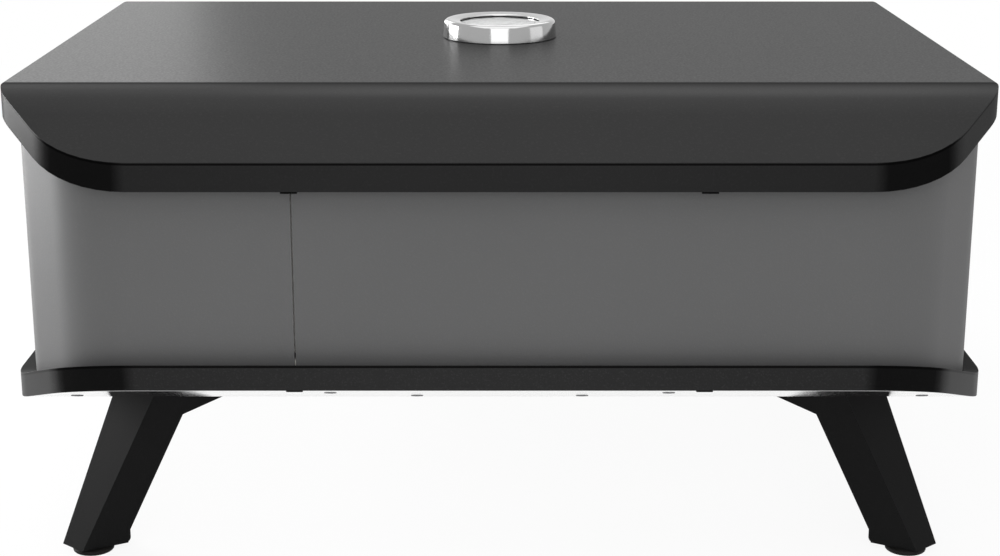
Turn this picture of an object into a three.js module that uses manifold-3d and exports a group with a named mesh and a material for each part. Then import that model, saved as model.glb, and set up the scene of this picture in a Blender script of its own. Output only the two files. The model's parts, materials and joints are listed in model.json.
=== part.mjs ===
// Portable gas pizza oven: wide low sheet-steel body on four folding legs.
// Millimetres, +Z up, the floor at z = 0, the mouth towards -Y and the closed rear towards +Y.
// "Right" is +X, the right hand of somebody who stands before the mouth.

import * as THREE from "three";
import { mergeVertices } from "three/addons/utils/BufferGeometryUtils.js";
import Module from "manifold-3d";

const wasm = await Module();
wasm.setup();

// Body envelope
const bodyWidth = 620;
const bodyDepth = 566;
const bodyHeight = 201.5;
const groundClearance = 106.5;
const slopeRun = 70;
const lidSlopeDrop = 32.5;
const baseSlopeRise = 28.5;
const bendRadius = 60;
const diagonalRun = 71;
const diagonalInset = 52;
const sideCornerRadius = 49;
const endCornerRadius = 75;

// Clearances between pieces
const seatGap = 0.3;
const slideGap = 0.4;
const boreGap = 0.3;
const overrun = 20;

// Lid and base sheets
const lipHeight = 17.6;
const rimHeight = 16;
const lidSheet = 1;
const baseSheet = 1;
const bottomSheet = 0.8;
const tabWidth = 10;
const tabDepth = 2;
const tabShow = 1.1;
const tabSpacing = 248;

// Outer walls
const wallInset = 10;
const wallSheet = 1;
const seamGap = 0.8;
const frontPanelDepth = 90;

// Cooking floor
const sillRise = 1.1;
const traySheet = 1;
const trayMargin = 22;
const trayLip = 9;
const stoneThickness = 15;
const stoneFrontGap = 7;
const stoneSideGap = 22;
const stoneRearGap = 12;
const stoneEdge = 1.5;

// Chamber and its insulation
const bayDepth = 44.9;
const chamberLidGap = 40.6;
const chamberSheet = 0.8;
const chamberFlange = 12;
const chamberFrontSetback = 21;
const chamberRearSetback = 37;
const blanketThickness = 25;
const rearBlanketThickness = 20;
const blanketGap = 1.5;

// Mouth
const mouthSideSetback = 18;
const mouthTopSetback = 13.3;
const frameSheet = 1.5;
const frameFlange = 8;
const frameSillFlange = 1.6;

// Gas train, in the bay behind the service panel
const burnerBayGap = 23;
const gasRise = 32.9;
const valveRearward = 20;
const valveLength = 40;
const valveRadius = 12;
const valveBossRadius = 9;
const stemRadius = 3;
const stemDepth = 8;
const jetRadius = 4.5;
const jetLength = 14;
const jetTipRadius = 2.5;
const jetTipLength = 4;
const tubeRadius = 10;
const tubeWall = 1.2;
const tubeBend = 25;
const burnerRearGap = 41;
const burnerEndGap = 38;
const mixerGap = 2;
const portWidth = 3;
const portSpacing = 22;
const portDepth = 6;
const portMargin = 20;
const shutterLength = 22;
const shutterOffset = 6;
const shutterWall = 1.4;
const shutterSlot = 8;
const bracketSheet = 2;
const bracketMargin = 5;
const bracketSideSetback = 68;
const bracketFoot = 14;
const guardSheet = 1;
const guardBurnerGap = 11;
const guardHeight = 40;
const guardLean = 9;
const guardFoot = 10;
const guardSideSetback = 28;
const guardSlotWidth = 14;
const guardSlotHeight = 9;
const guardSlotSpacing = 24;
const inletRearward = 85;
const inletDrop = 35;
const inletRadius = 7;
const inletLength = 32;
const inletOutside = 16;
const inletFlange = 10.5;
const inletFlangeThickness = 4;
const inletBore = 3.5;
const inletWall = 7;
const pipeRadius = 4;
const pipeBend = 9;
const pipeStandOff = 5;

// Control knob
const knobRadius = 22;
const knobDepth = 15.5;
const knobSkirt = 5;
const knobGripWidth = 11;
const knobEdge = 1.5;
const knobCap = 2.9;
const gripInset = 3;
const bezelRadius = 28;
const bezelThickness = 2;

// Piezo igniter
const igniterForward = 45;
const igniterRadius = 8;
const igniterLength = 33;
const igniterFlange = 12;
const igniterFlangeThickness = 3;
const buttonRadius = 5.8;
const buttonLength = 13;
const buttonShow = 7;
const buttonTravel = 5;
const electrodeRearward = 24;
const electrodeRise = 19;
const insulatorRadius = 3.5;
const insulatorLength = 44;
const insulatorInside = 3;
const electrodeRadius = 1.1;
const electrodeTip = 12;
const electrodeTail = 4;
const electrodeBend = 3.3;
const electrodeDip = 6;
const leadRadius = 1.5;
const leadRise = 22;
const leadStandOff = 6;
const leadBend = 1.8;

// Lid thermometer
const gaugeForward = 4;
const gaugeRim = 7;
const gaugeHeight = 10.5;
const gaugeTaper = 0.8;
const gaugeCrown = 2.6;
const gaugeCrownInset = 4;
const gaugeWindowLap = 5.5;
const gaugeLip = 0.9;
const caseRadius = 34;
const caseHeight = 8.7;
const caseFloor = 5.1;
const caseWall = 1.4;
const bossRadius = 6;
const bossLength = 12;
const nutWall = 4;
const nutThickness = 5;
const probeRadius = 3;
const probeDepth = 66;
const probeBore = 1.7;
const dialThickness = 0.8;
const dialStandOff = 0.3;
const glassThickness = 1.2;
const pointerLength = 22;
const pointerTail = 8;
const pointerWidth = 2.4;
const pointerThickness = 0.5;
const pointerHub = 3;
const pointerStandOff = 0.5;
const pointerRest = 225;
const spindleRadius = 1.2;
const spindleLength = 8;

// Folding legs, measured in the vertical plane that each leg swings in
const legYaw = 29.6;
const legSideSetback = 37.6;
const legEndSetback = 59.7;
const legReach = 108;
const legSplayShare = 0.544;
const legFoldAngle = 109.3;
const legSheet = 2;
const webFootWidth = 33;
const toeHeight = 9;
const toeRadius = 4;
const kneeLength = 35;
const kneeDrop = 14.6;
const eyeRadius = 5;
const outerFaceFoot = 21;
const outerFaceTop = 39.4;
const footRadius = 13.4;
const footThickness = 3;
const footEdge = 0.8;
const footStudRadius = 4;
const footHeadRadius = 5.2;
const footHeadHeight = 2.4;
const footInward = 10.6;
const footSideways = 9.3;
const flangeSheet = 2;
const flangeInset = 2.2;
const flangeLength = 29;
const flangeWidth = 19;

// Leg brackets and pins
const pinRadius = 2.5;
const pinHeadRadius = 3.6;
const pinHeadThickness = 1.2;
const earThickness = 2;
const earRadius = 6;
const plateThickness = 2;
const plateInner = 18;
const plateOuter = 10;
const plateHalfWidth = 18;
const slotReach = 6.6;
const pivotDrop = seatGap + plateThickness + pinHeadRadius + seatGap;

// Facets on round forms
const arcFacets = 4;
const crownFacets = 5;
const roundFacets = 24;
const smallFacets = 12;
const wireFacets = 8;
const hexFacets = 6;
const gaugeFacets = 60;
const burnerSteps = 40;
const pipeSteps = 30;
const leadSteps = 40;
const wireSteps = 12;

// Places that follow from the sizes
const lidTop = groundClearance + bodyHeight;
const bendY = bodyDepth / 2 - slopeRun;
const panTop = groundClearance + rimHeight;
const trayTop = panTop + baseSlopeRise + sillRise;
const trayBottom = trayTop - traySheet;
const stoneTop = trayTop + seatGap + stoneThickness;
const gasHeight = trayTop + gasRise;
const chamberRoof = lidTop - chamberLidGap;
const mouthHeight = chamberRoof - mouthTopSetback - trayTop;
const chamberFront = -bodyDepth / 2 + chamberFrontSetback;
const chamberRear = bodyDepth / 2 - chamberRearSetback;
const wallOuterX = bodyWidth / 2 - wallInset;
const wallOuterY = bodyDepth / 2 - wallInset;
const wallInnerX = wallOuterX - wallSheet;
const seamOffset = tabSpacing / 2;
const chamberWidth = 2 * (wallInnerX - bayDepth - blanketThickness - seatGap - chamberSheet);
const mouthWidth = chamberWidth - 2 * mouthSideSetback;
const trayWidth = chamberWidth + 2 * trayMargin;
const stoneWidth = chamberWidth - 2 * stoneSideGap;
const bayCentre = wallInnerX - burnerBayGap;
const burnerReach = chamberWidth / 2 - burnerEndGap;
const bracketSpacing = chamberWidth - 2 * bracketSideSetback;
const guardWidth = chamberWidth - 2 * guardSideSetback;
const wallInnerY = wallOuterY - wallSheet;
const burnerY = chamberRear - burnerRearGap;
const guardY = burnerY - tubeRadius - bracketMargin - guardBurnerGap - guardFoot;
const stoneFront = chamberFront + stoneFrontGap;
const stoneRear = guardY - stoneRearGap;
const bezelFace = wallOuterX + seatGap + bezelThickness;
const knobFace = bezelFace + slideGap;
const knobBoreEnd = knobFace + knobDepth - knobCap;
const gaugeBaseRadius = caseRadius + gaugeRim;
const gaugeTopRadius = gaugeBaseRadius - gaugeTaper;
const gaugeWindowRadius = caseRadius - gaugeWindowLap;
const nutRadius = bossRadius + nutWall;
const pivotZ = groundClearance - pivotDrop;
const soleZ = footThickness + seatGap;

// Finishes
const blackPaint = { color: 0x2b2b2c, roughness: 0.55, metalness: 0.25 };
const greyPaint = { color: 0x5e5e5f, roughness: 0.5, metalness: 0.3 };
const stainless = { color: 0xb9bab8, roughness: 0.28, metalness: 1 };
const darkSteel = { color: 0x6f6e6b, roughness: 0.45, metalness: 0.9 };
const chrome = { color: 0xdadcdd, roughness: 0.08, metalness: 1 };
const brass = { color: 0xb5924c, roughness: 0.3, metalness: 1 };
const cordierite = { color: 0xcbbd9f, roughness: 0.95, metalness: 0 };
const fibre = { color: 0xe9e6dc, roughness: 1, metalness: 0 };
const rubber = { color: 0x17171a, roughness: 0.85, metalness: 0 };
const plastic = { color: 0x1d1d1f, roughness: 0.45, metalness: 0 };
const ceramic = { color: 0xefece2, roughness: 0.35, metalness: 0 };
const glass = { color: 0xdfe6e8, roughness: 0.05, metalness: 0 };
const dialFace = { color: 0xd8d8d4, roughness: 0.4, metalness: 0.2 };
const signalRed = { color: 0xb3261e, roughness: 0.5, metalness: 0 };

const oven = new THREE.Group();

function addPiece(name, geometry, finish, parent = oven) {
  const mesh = new THREE.Mesh(geometry, new THREE.MeshStandardMaterial(finish));
  mesh.name = name;
  parent.add(mesh);
  return mesh;
}

// Solids

function solid(geometry) {
  const bare = geometry.clone();
  bare.deleteAttribute("normal");
  bare.deleteAttribute("uv");
  const merged = mergeVertices(bare);
  const vertProperties = new Float32Array(merged.attributes.position.array);
  const triVerts = new Uint32Array(merged.index.array);
  return new wasm.Manifold(new wasm.Mesh({ numProp: 3, vertProperties, triVerts }));
}

function geometryOf(manifold) {
  const mesh = manifold.getMesh();
  const geometry = new THREE.BufferGeometry();
  geometry.setAttribute("position", new THREE.BufferAttribute(mesh.vertProperties, 3));
  geometry.setIndex(new THREE.BufferAttribute(mesh.triVerts, 1));
  geometry.computeVertexNormals();
  return geometry;
}

function join(first, ...others) {
  return others.reduce((sum, other) => sum.add(other), first);
}

function cut(first, ...others) {
  return others.reduce((rest, other) => rest.subtract(other), first);
}

function common(first, ...others) {
  return others.reduce((shared, other) => shared.intersect(other), first);
}

function raised(manifold, height) {
  return manifold.translate([0, 0, height]);
}

// Primitive forms, each placed where it is used

function block(x0, x1, y0, y1, z0, z1) {
  const geometry = new THREE.BoxGeometry(x1 - x0, y1 - y0, z1 - z0);
  geometry.translate((x0 + x1) / 2, (y0 + y1) / 2, (z0 + z1) / 2);
  return solid(geometry);
}

function extruded(shape, depth) {
  return new THREE.ExtrudeGeometry(shape, { depth, bevelEnabled: false, curveSegments: arcFacets });
}

// A shape drawn in (x, y), standing from z0 to z1
function upright(shape, z0, z1) {
  return solid(extruded(shape, z1 - z0).translate(0, 0, z0));
}

// A shape drawn in (y, z), running from x0 to x1
function acrossX(shape, x0, x1) {
  const basis = new THREE.Matrix4().makeBasis(
    new THREE.Vector3(0, 1, 0),
    new THREE.Vector3(0, 0, 1),
    new THREE.Vector3(1, 0, 0),
  );
  return solid(extruded(shape, x1 - x0).applyMatrix4(basis).translate(x0, 0, 0));
}

// A shape drawn in (x, z), running from y0 to y1
function acrossY(shape, y0, y1) {
  const basis = new THREE.Matrix4().makeBasis(
    new THREE.Vector3(1, 0, 0),
    new THREE.Vector3(0, 0, 1),
    new THREE.Vector3(0, -1, 0),
  );
  return solid(extruded(shape, y1 - y0).applyMatrix4(basis).translate(0, y1, 0));
}

function polygon(points) {
  return new THREE.Shape(points.map(([x, y]) => new THREE.Vector2(x, y)));
}

const axisTurns = {
  x: new THREE.Matrix4().makeRotationZ(-Math.PI / 2),
  y: new THREE.Matrix4(),
  z: new THREE.Matrix4().makeRotationX(Math.PI / 2),
};

// A round bar along one axis, from start to end, centred on the other two coordinates
function bar(axis, radius, start, end, centre, facets = smallFacets) {
  const geometry = new THREE.CylinderGeometry(radius, radius, end - start, facets);
  geometry.applyMatrix4(axisTurns[axis]);
  const middle = (start + end) / 2;
  const [first, second] = centre;
  const place = { x: [middle, first, second], y: [first, middle, second], z: [first, second, middle] }[axis];
  return solid(geometry.translate(...place));
}

// A turned form: (radius, height) pairs that start and end on the axis or close on themselves
function turned(profile, facets = roundFacets) {
  const points = profile.map(([radius, height]) => new THREE.Vector2(radius, height));
  return new THREE.LatheGeometry(points, facets).applyMatrix4(axisTurns.z);
}

// The same turned form, its heights measured outwards along +X
function turnedAlongX(profile, facets = roundFacets) {
  const geometry = new THREE.LatheGeometry(
    profile.map(([radius, height]) => new THREE.Vector2(radius, height)),
    facets,
  );
  return geometry.applyMatrix4(axisTurns.x);
}

class BentPath extends THREE.CurvePath {
  // Straight runs between the points, joined by round bends of one radius
  constructor(points, radius) {
    super();
    let start = points[0];
    for (let index = 1; index < points.length - 1; index += 1) {
      const corner = points[index];
      const before = corner.clone().sub(points[index - 1]).normalize();
      const after = points[index + 1].clone().sub(corner).normalize();
      const tangent = radius * Math.tan(before.angleTo(after) / 2);
      const entry = corner.clone().addScaledVector(before, -tangent);
      const exit = corner.clone().addScaledVector(after, tangent);
      this.add(new THREE.LineCurve3(start, entry));
      this.add(new THREE.QuadraticBezierCurve3(entry, corner, exit));
      start = exit;
    }
    this.add(new THREE.LineCurve3(start, points[points.length - 1]));
  }
}

// A round tube along a path, solid inside
function tubeAlong(path, radius, steps, facets = smallFacets) {
  const ring = new THREE.Shape();
  ring.absarc(0, 0, radius, 0, 2 * Math.PI);
  return solid(
    new THREE.ExtrudeGeometry(ring, {
      steps,
      bevelEnabled: false,
      extrudePath: path,
      curveSegments: facets / 2,
    }),
  );
}

// A closed outline with rounded corners, drawn counter-clockwise and inset by a distance
function roundedOutline(corners, inset) {
  const shape = new THREE.Shape();
  const count = corners.length;
  corners.forEach(({ point, radius }, index) => {
    const before = corners[(index + count - 1) % count].point;
    const after = corners[(index + 1) % count].point;
    const incoming = point.clone().sub(before).normalize();
    const outgoing = after.clone().sub(point).normalize();
    const firstNormal = new THREE.Vector2(incoming.y, -incoming.x);
    const secondNormal = new THREE.Vector2(outgoing.y, -outgoing.x);
    const shift = firstNormal.clone().add(secondNormal);
    shift.multiplyScalar(inset / (1 + firstNormal.dot(secondNormal)));
    const vertex = point.clone().sub(shift);
    const arcRadius = radius ? radius - inset : 0;
    const turn = Math.acos(THREE.MathUtils.clamp(incoming.dot(outgoing), -1, 1));
    const start = vertex.clone().addScaledVector(incoming, -arcRadius * Math.tan(turn / 2));
    if (index === 0) shape.moveTo(start.x, start.y);
    else shape.lineTo(start.x, start.y);
    if (arcRadius > 0) {
      const centre = start.clone().addScaledVector(firstNormal, -arcRadius);
      shape.absarc(centre.x, centre.y, arcRadius, firstNormal.angle(), secondNormal.angle());
    }
  });
  shape.closePath();
  return shape;
}

// Body outline seen from above: side edges, a diagonal at each corner, straight front and rear
function planCorners() {
  const sideX = bodyWidth / 2;
  const sideY = bodyDepth / 2 - diagonalRun;
  const endX = sideX - diagonalInset;
  const endY = bodyDepth / 2;
  const side = (x, y) => ({ point: new THREE.Vector2(x, y), radius: sideCornerRadius });
  const end = (x, y) => ({ point: new THREE.Vector2(x, y), radius: endCornerRadius });
  return [
    side(sideX, -sideY),
    side(sideX, sideY),
    end(endX, endY),
    end(-endX, endY),
    side(-sideX, sideY),
    side(-sideX, -sideY),
    end(-endX, -endY),
    end(endX, -endY),
  ];
}

function planSolid(inset) {
  return upright(roundedOutline(planCorners(), inset), -overrun, lidTop + overrun);
}

// Everything below the lid's surface: flat in the middle, sloping down to the front and rear
function belowLid(inset) {
  const reach = bodyDepth / 2 + overrun;
  const reachDrop = ((reach - bendY) * lidSlopeDrop) / slopeRun;
  const corners = [
    { point: new THREE.Vector2(-reach, -overrun), radius: 0 },
    { point: new THREE.Vector2(reach, -overrun), radius: 0 },
    { point: new THREE.Vector2(reach, lidTop - reachDrop), radius: 0 },
    { point: new THREE.Vector2(bendY, lidTop), radius: bendRadius },
    { point: new THREE.Vector2(-bendY, lidTop), radius: bendRadius },
    { point: new THREE.Vector2(-reach, lidTop - reachDrop), radius: 0 },
  ];
  return acrossX(roundedOutline(corners, inset), -bodyWidth / 2 - overrun, bodyWidth / 2 + overrun);
}

// Everything above the underside: flat in the middle, rising to the front and rear
function aboveBase() {
  const reach = bodyDepth / 2 + overrun;
  const reachRise = ((reach - bendY) * baseSlopeRise) / slopeRun;
  const high = lidTop + overrun;
  const corners = [
    { point: new THREE.Vector2(-bendY, groundClearance), radius: bendRadius },
    { point: new THREE.Vector2(bendY, groundClearance), radius: bendRadius },
    { point: new THREE.Vector2(reach, groundClearance + reachRise), radius: 0 },
    { point: new THREE.Vector2(reach, high), radius: 0 },
    { point: new THREE.Vector2(-reach, high), radius: 0 },
    { point: new THREE.Vector2(-reach, groundClearance + reachRise), radius: 0 },
  ];
  return acrossX(roundedOutline(corners, 0), -bodyWidth / 2 - overrun, bodyWidth / 2 + overrun);
}

const fullPlan = planSolid(0);
const underLid = belowLid(0);
const overBase = aboveBase();
const insideWalls = common(planSolid(wallInset + wallSheet + seatGap), raised(overBase, rimHeight + seatGap));
const underLidSheet = belowLid(lidSheet + seatGap);

// Small tabs bent out of the lip and the rim on the rear side, where the walls are hooked in
function rearTabs(spacing, bottom, top) {
  const outer = bodyDepth / 2 - lidSheet / 2;
  return [-spacing / 2, spacing / 2].map((x) =>
    block(x - tabWidth / 2, x + tabWidth / 2, outer - tabDepth, outer, bottom, top),
  );
}

function buildLid() {
  const outer = common(fullPlan, underLid);
  const inner = common(planSolid(lidSheet), belowLid(lidSheet));
  const lipBottom = lidTop - lidSlopeDrop - lipHeight;
  const tabs = rearTabs(tabSpacing, lipBottom - tabShow, lipBottom + tabWidth);
  const gaugeHole = bar("z", bossRadius + boreGap, lidTop - overrun, lidTop + overrun, [0, -gaugeForward]);
  const sheet = cut(outer, raised(underLid, -lipHeight), inner);
  addPiece("lid_shell", geometryOf(cut(join(sheet, ...tabs), gaugeHole)), blackPaint);
}

function buildBase() {
  const body = cut(common(fullPlan, overBase), raised(overBase, rimHeight));
  const hollow = cut(planSolid(baseSheet), raised(overBase, rimHeight - baseSheet));
  const rimBottom = groundClearance + baseSlopeRise;
  const tabs = rearTabs(tabSpacing, rimBottom - tabShow, rimBottom + tabWidth);
  const plateOutline = planSolid(baseSheet + tabDepth + seatGap);
  const plate = cut(common(plateOutline, overBase), raised(overBase, bottomSheet));
  addPiece("base_pan", geometryOf(join(cut(body, hollow), ...tabs)), blackPaint);
  addPiece("bottom_plate", geometryOf(plate), stainless);
}

// The ring of outer wall between the base and the lid
function wallRing() {
  const ring = cut(planSolid(wallInset), planSolid(wallInset + wallSheet));
  return common(ring, underLidSheet, raised(overBase, rimHeight + seatGap));
}

function buildWalls() {
  const ring = wallRing();
  const sideX = bodyWidth;
  const rear = bodyDepth;
  const frontSeam = -bodyDepth / 2 + frontPanelDepth;
  const low = -overrun;
  const high = lidTop + overrun;
  const rearHalf = block(-sideX, sideX, frontSeam + seamGap / 2, rear, low, high);
  const leftOfSeam = block(-sideX, seamOffset - seamGap / 2, -rear, rear, low, high);
  const rightOfSeam = block(seamOffset + seamGap / 2, sideX, -rear, rear, low, high);
  const frontPart = block(-sideX, sideX, -rear, frontSeam - seamGap / 2, low, high);
  const mouthOuter = mouthWidth / 2 + frameSheet + seatGap;
  const mouthCut = block(
    -mouthOuter,
    mouthOuter,
    -rear,
    chamberFront,
    trayTop - frameSheet - seatGap,
    trayTop + mouthHeight + frameSheet + seatGap,
  );
  const panelHoles = [
    bar("x", stemRadius + slideGap, 0, sideX, [valveRearward, gasHeight]),
    bar("x", igniterRadius + boreGap, 0, sideX, [-igniterForward, gasHeight]),
    bar("x", inletRadius + boreGap, 0, sideX, [inletRearward, gasHeight - inletDrop]),
  ];
  addPiece("rear_wall", geometryOf(common(ring, rearHalf, leftOfSeam)), greyPaint);
  addPiece("service_panel", geometryOf(cut(common(ring, rearHalf, rightOfSeam), ...panelHoles)), greyPaint);
  addPiece("front_panel", geometryOf(cut(common(ring, frontPart), mouthCut)), greyPaint);
}

// Four stainless channels that line the mouth, each with a front and a rear flange turned away from it.
// Sill and header run past the jambs, which stand between them.
function buildMouthFrame() {
  const half = mouthWidth / 2;
  const top = trayTop + mouthHeight;
  const front = -wallOuterY - seatGap - frameSheet;
  const rear = chamberFront - seatGap;
  const sillBottom = trayTop - frameSheet;
  const outer = half + frameSheet;
  const sleeve = block(-outer, outer, front, rear, sillBottom, top + frameSheet);
  const frontFlange = block(
    -half - frameFlange,
    half + frameFlange,
    front,
    front + frameSheet,
    sillBottom - frameSillFlange,
    top + frameFlange,
  );
  const rearFlange = block(
    -chamberWidth / 2 - chamberSheet,
    chamberWidth / 2 + chamberSheet,
    rear - frameSheet,
    rear,
    sillBottom,
    chamberRoof + chamberSheet,
  );
  const way = block(-half, half, -bodyDepth, 0, trayTop, top);
  const ring = cut(join(sleeve, frontFlange, rearFlange), way);
  const between = (low, high) => block(-bodyWidth, bodyWidth, -bodyDepth, 0, low, high);
  const beside = (from, to) => block(from, to, -bodyDepth, 0, trayTop + seatGap, top - seatGap);
  addPiece("mouth_sill", geometryOf(common(ring, between(0, trayTop))), stainless);
  addPiece("mouth_header", geometryOf(common(ring, between(top, lidTop))), stainless);
  addPiece("mouth_jamb_left", geometryOf(common(ring, beside(-bodyWidth, 0))), stainless);
  addPiece("mouth_jamb_right", geometryOf(common(ring, beside(0, bodyWidth))), stainless);
}

function buildCookingFloor() {
  const half = trayWidth / 2;
  const rear = wallInnerY - seatGap;
  const board = block(
    -half + traySheet + seatGap,
    half - traySheet - seatGap,
    chamberFront + traySheet + seatGap,
    rear - seatGap,
    panTop,
    trayBottom - seatGap,
  );
  addPiece("floor_insulation", geometryOf(common(board, insideWalls)), fibre);

  const sheet = block(-half, half, chamberFront, rear, trayBottom, trayTop);
  const leftSide = block(-half, -half + traySheet, chamberFront, rear, panTop, trayTop);
  const rightSide = block(half - traySheet, half, chamberFront, rear, panTop, trayTop);
  const frontLip = block(-half, half, chamberFront, chamberFront + traySheet, trayTop - trayLip, trayTop);
  addPiece("stone_tray", geometryOf(common(join(sheet, leftSide, rightSide, frontLip), insideWalls)), darkSteel);

  const halfStone = stoneWidth / 2;
  const slab = polygon([
    [stoneFront, trayTop + seatGap],
    [stoneRear, trayTop + seatGap],
    [stoneRear, stoneTop - stoneEdge],
    [stoneRear - stoneEdge, stoneTop],
    [stoneFront + stoneEdge, stoneTop],
    [stoneFront, stoneTop - stoneEdge],
  ]);
  addPiece("pizza_stone", geometryOf(acrossX(slab, -halfStone, halfStone)), cordierite);
}

// A chamber wall of L section: an upright sheet with a foot flange that lies on the tray
function chamberSide(hand) {
  const inner = chamberWidth / 2;
  const outer = inner + chamberSheet;
  const bottom = trayTop + seatGap;
  const section = [
    [inner, bottom],
    [outer + chamberFlange, bottom],
    [outer + chamberFlange, bottom + chamberSheet],
    [outer, bottom + chamberSheet],
    [outer, chamberRoof],
    [inner, chamberRoof],
  ].map(([x, z]) => [hand * x, z]);
  return acrossY(polygon(section), chamberFront + seatGap, chamberRear);
}

function buildChamber() {
  const halfOuter = chamberWidth / 2 + chamberSheet;
  const bottom = trayTop + seatGap;
  const front = chamberFront + seatGap;
  const rearFace = chamberRear + seatGap;
  const burnerHole = bar("x", tubeRadius + boreGap, 0, bodyWidth, [burnerY, gasHeight], roundFacets);
  const electrodeHole = bar("x", insulatorRadius + boreGap, 0, bodyWidth, electrodePlace());
  const rearSection = polygon([
    [rearFace, bottom],
    [rearFace + chamberSheet + chamberFlange, bottom],
    [rearFace + chamberSheet + chamberFlange, bottom + chamberSheet],
    [rearFace + chamberSheet, bottom + chamberSheet],
    [rearFace + chamberSheet, chamberRoof],
    [rearFace, chamberRoof],
  ]);
  const roof = block(
    -halfOuter,
    halfOuter,
    front,
    rearFace + chamberSheet,
    chamberRoof + seatGap,
    chamberRoof + seatGap + chamberSheet,
  );
  const probeHole = bar("z", probeRadius + boreGap, 0, lidTop, [0, -gaugeForward]);
  addPiece("chamber_side_left", geometryOf(chamberSide(-1)), stainless);
  addPiece("chamber_side_right", geometryOf(cut(chamberSide(1), burnerHole, electrodeHole)), stainless);
  addPiece("chamber_rear", geometryOf(acrossX(rearSection, -halfOuter, halfOuter)), stainless);
  addPiece("chamber_roof", geometryOf(cut(roof, probeHole)), stainless);
}

// Fibre blanket laid over the chamber: roof, both sides and the rear in one wrap
function buildBlanket() {
  const innerX = chamberWidth / 2 + chamberSheet + seatGap;
  const outerX = innerX + blanketThickness;
  const innerY = chamberRear + seatGap + chamberSheet + seatGap;
  const outerY = innerY + rearBlanketThickness;
  const front = chamberFront + seatGap;
  const bottom = trayTop + seatGap + chamberSheet + seatGap;
  const innerTop = chamberRoof + seatGap + chamberSheet + seatGap;
  const outside = block(-outerX, outerX, front, outerY, bottom, innerTop + blanketThickness);
  const inside = block(-innerX, innerX, front - overrun, innerY, bottom - overrun, innerTop);
  const burnerWay = tubeAlong(burnerPath(0), tubeRadius + blanketGap, burnerSteps, roundFacets);
  const electrodeWay = bar("x", insulatorRadius + slideGap, 0, bodyWidth, electrodePlace());
  const probeWay = bar("z", nutRadius + slideGap, 0, lidTop, [0, -gaugeForward], roundFacets);
  const wrap = cut(outside, inside, burnerWay, electrodeWay, probeWay);
  const room = common(insideWalls, belowLid(lidSheet + blanketGap));
  addPiece("insulation_blanket", geometryOf(common(wrap, room)), fibre);
}

function electrodePlace() {
  return [burnerY + electrodeRearward, gasHeight + electrodeRise];
}

// The burner: an L-shaped tube, its open mixer end in the bay and its ported run across the rear
function burnerPath(end) {
  const mixerStart = valveRearward + valveLength / 2 + seatGap + jetLength - mixerGap;
  return new BentPath(
    [
      new THREE.Vector3(bayCentre, mixerStart - end, gasHeight),
      new THREE.Vector3(bayCentre, burnerY, gasHeight),
      new THREE.Vector3(-burnerReach + end, burnerY, gasHeight),
    ],
    tubeBend,
  );
}

function buildBurner() {
  const skin = tubeAlong(burnerPath(0), tubeRadius, burnerSteps);
  const bore = tubeAlong(burnerPath(tubeWall), tubeRadius - tubeWall, burnerSteps);
  const portCount = Math.floor((burnerReach + chamberWidth / 2 - 2 * portMargin) / portSpacing);
  const ports = Array.from({ length: portCount }, (_, index) => {
    const x = -burnerReach + portMargin + index * portSpacing;
    const top = gasHeight + tubeRadius + overrun;
    return block(x, x + portWidth, burnerY - portDepth / 2, burnerY + portDepth / 2, gasHeight, top);
  });
  addPiece("burner_tube", geometryOf(cut(skin, bore, ...ports)), stainless);
}

// An upright plate on a foot, with a round hole that carries the burner tube
function burnerBracket(name, x) {
  const half = tubeRadius + bracketMargin;
  const bottom = trayTop + seatGap;
  const face = new THREE.Shape();
  face.moveTo(burnerY - half, bottom);
  face.lineTo(burnerY + half, bottom);
  face.lineTo(burnerY + half, gasHeight);
  face.absarc(burnerY, gasHeight, half, 0, Math.PI);
  face.closePath();
  const plate = acrossX(face, x, x + bracketSheet);
  const foot = block(x, x + bracketFoot, burnerY - half, burnerY + half, bottom, bottom + bracketSheet);
  const hole = bar("x", tubeRadius + boreGap, x - overrun, x + overrun, [burnerY, gasHeight], roundFacets);
  addPiece(name, geometryOf(cut(join(plate, foot), hole)), stainless);
}

// Slotted sheet between the burner and the stone, leaning back over the flame at its top
function buildFlameGuard() {
  const y = guardY;
  const bottom = trayTop + seatGap;
  const bend = bottom + guardHeight - guardLean;
  const top = bottom + guardHeight;
  const section = polygon([
    [y, bottom],
    [y + guardFoot, bottom],
    [y + guardFoot, bottom + guardSheet],
    [y + guardSheet, bottom + guardSheet],
    [y + guardSheet, bend],
    [y + guardLean + guardSheet, top],
    [y + guardLean, top],
    [y, bend],
  ]);
  const half = guardWidth / 2;
  const slotBottom = bottom + (guardHeight - guardLean - guardSlotHeight) / 2;
  const count = Math.floor((guardWidth - guardSlotSpacing) / guardSlotSpacing);
  const slots = Array.from({ length: count }, (_, index) => {
    const x = (index - (count - 1) / 2) * guardSlotSpacing - guardSlotWidth / 2;
    return block(x, x + guardSlotWidth, y - overrun, y + guardFoot, slotBottom, slotBottom + guardSlotHeight);
  });
  addPiece("flame_guard", geometryOf(cut(acrossX(section, -half, half), ...slots)), stainless);
}

// Slotted collar that meters the mixer's air
function buildAirShutter() {
  const start = valveRearward + valveLength / 2 + seatGap + jetLength - mixerGap + shutterOffset;
  const inner = tubeRadius + boreGap;
  const centre = [bayCentre, gasHeight];
  const ring = bar("y", inner + shutterWall, start, start + shutterLength, centre, roundFacets);
  const bore = bar("y", inner, start - overrun, start + shutterLength + overrun, centre, roundFacets);
  const slotX = bayCentre + overrun;
  const slotStart = start + (shutterLength - shutterSlot) / 2;
  const slot = block(
    bayCentre,
    slotX,
    slotStart,
    slotStart + shutterSlot,
    gasHeight - shutterSlot / 2,
    gasHeight + shutterSlot / 2,
  );
  addPiece("air_shutter", geometryOf(cut(ring, bore, slot)), darkSteel);
}

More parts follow.
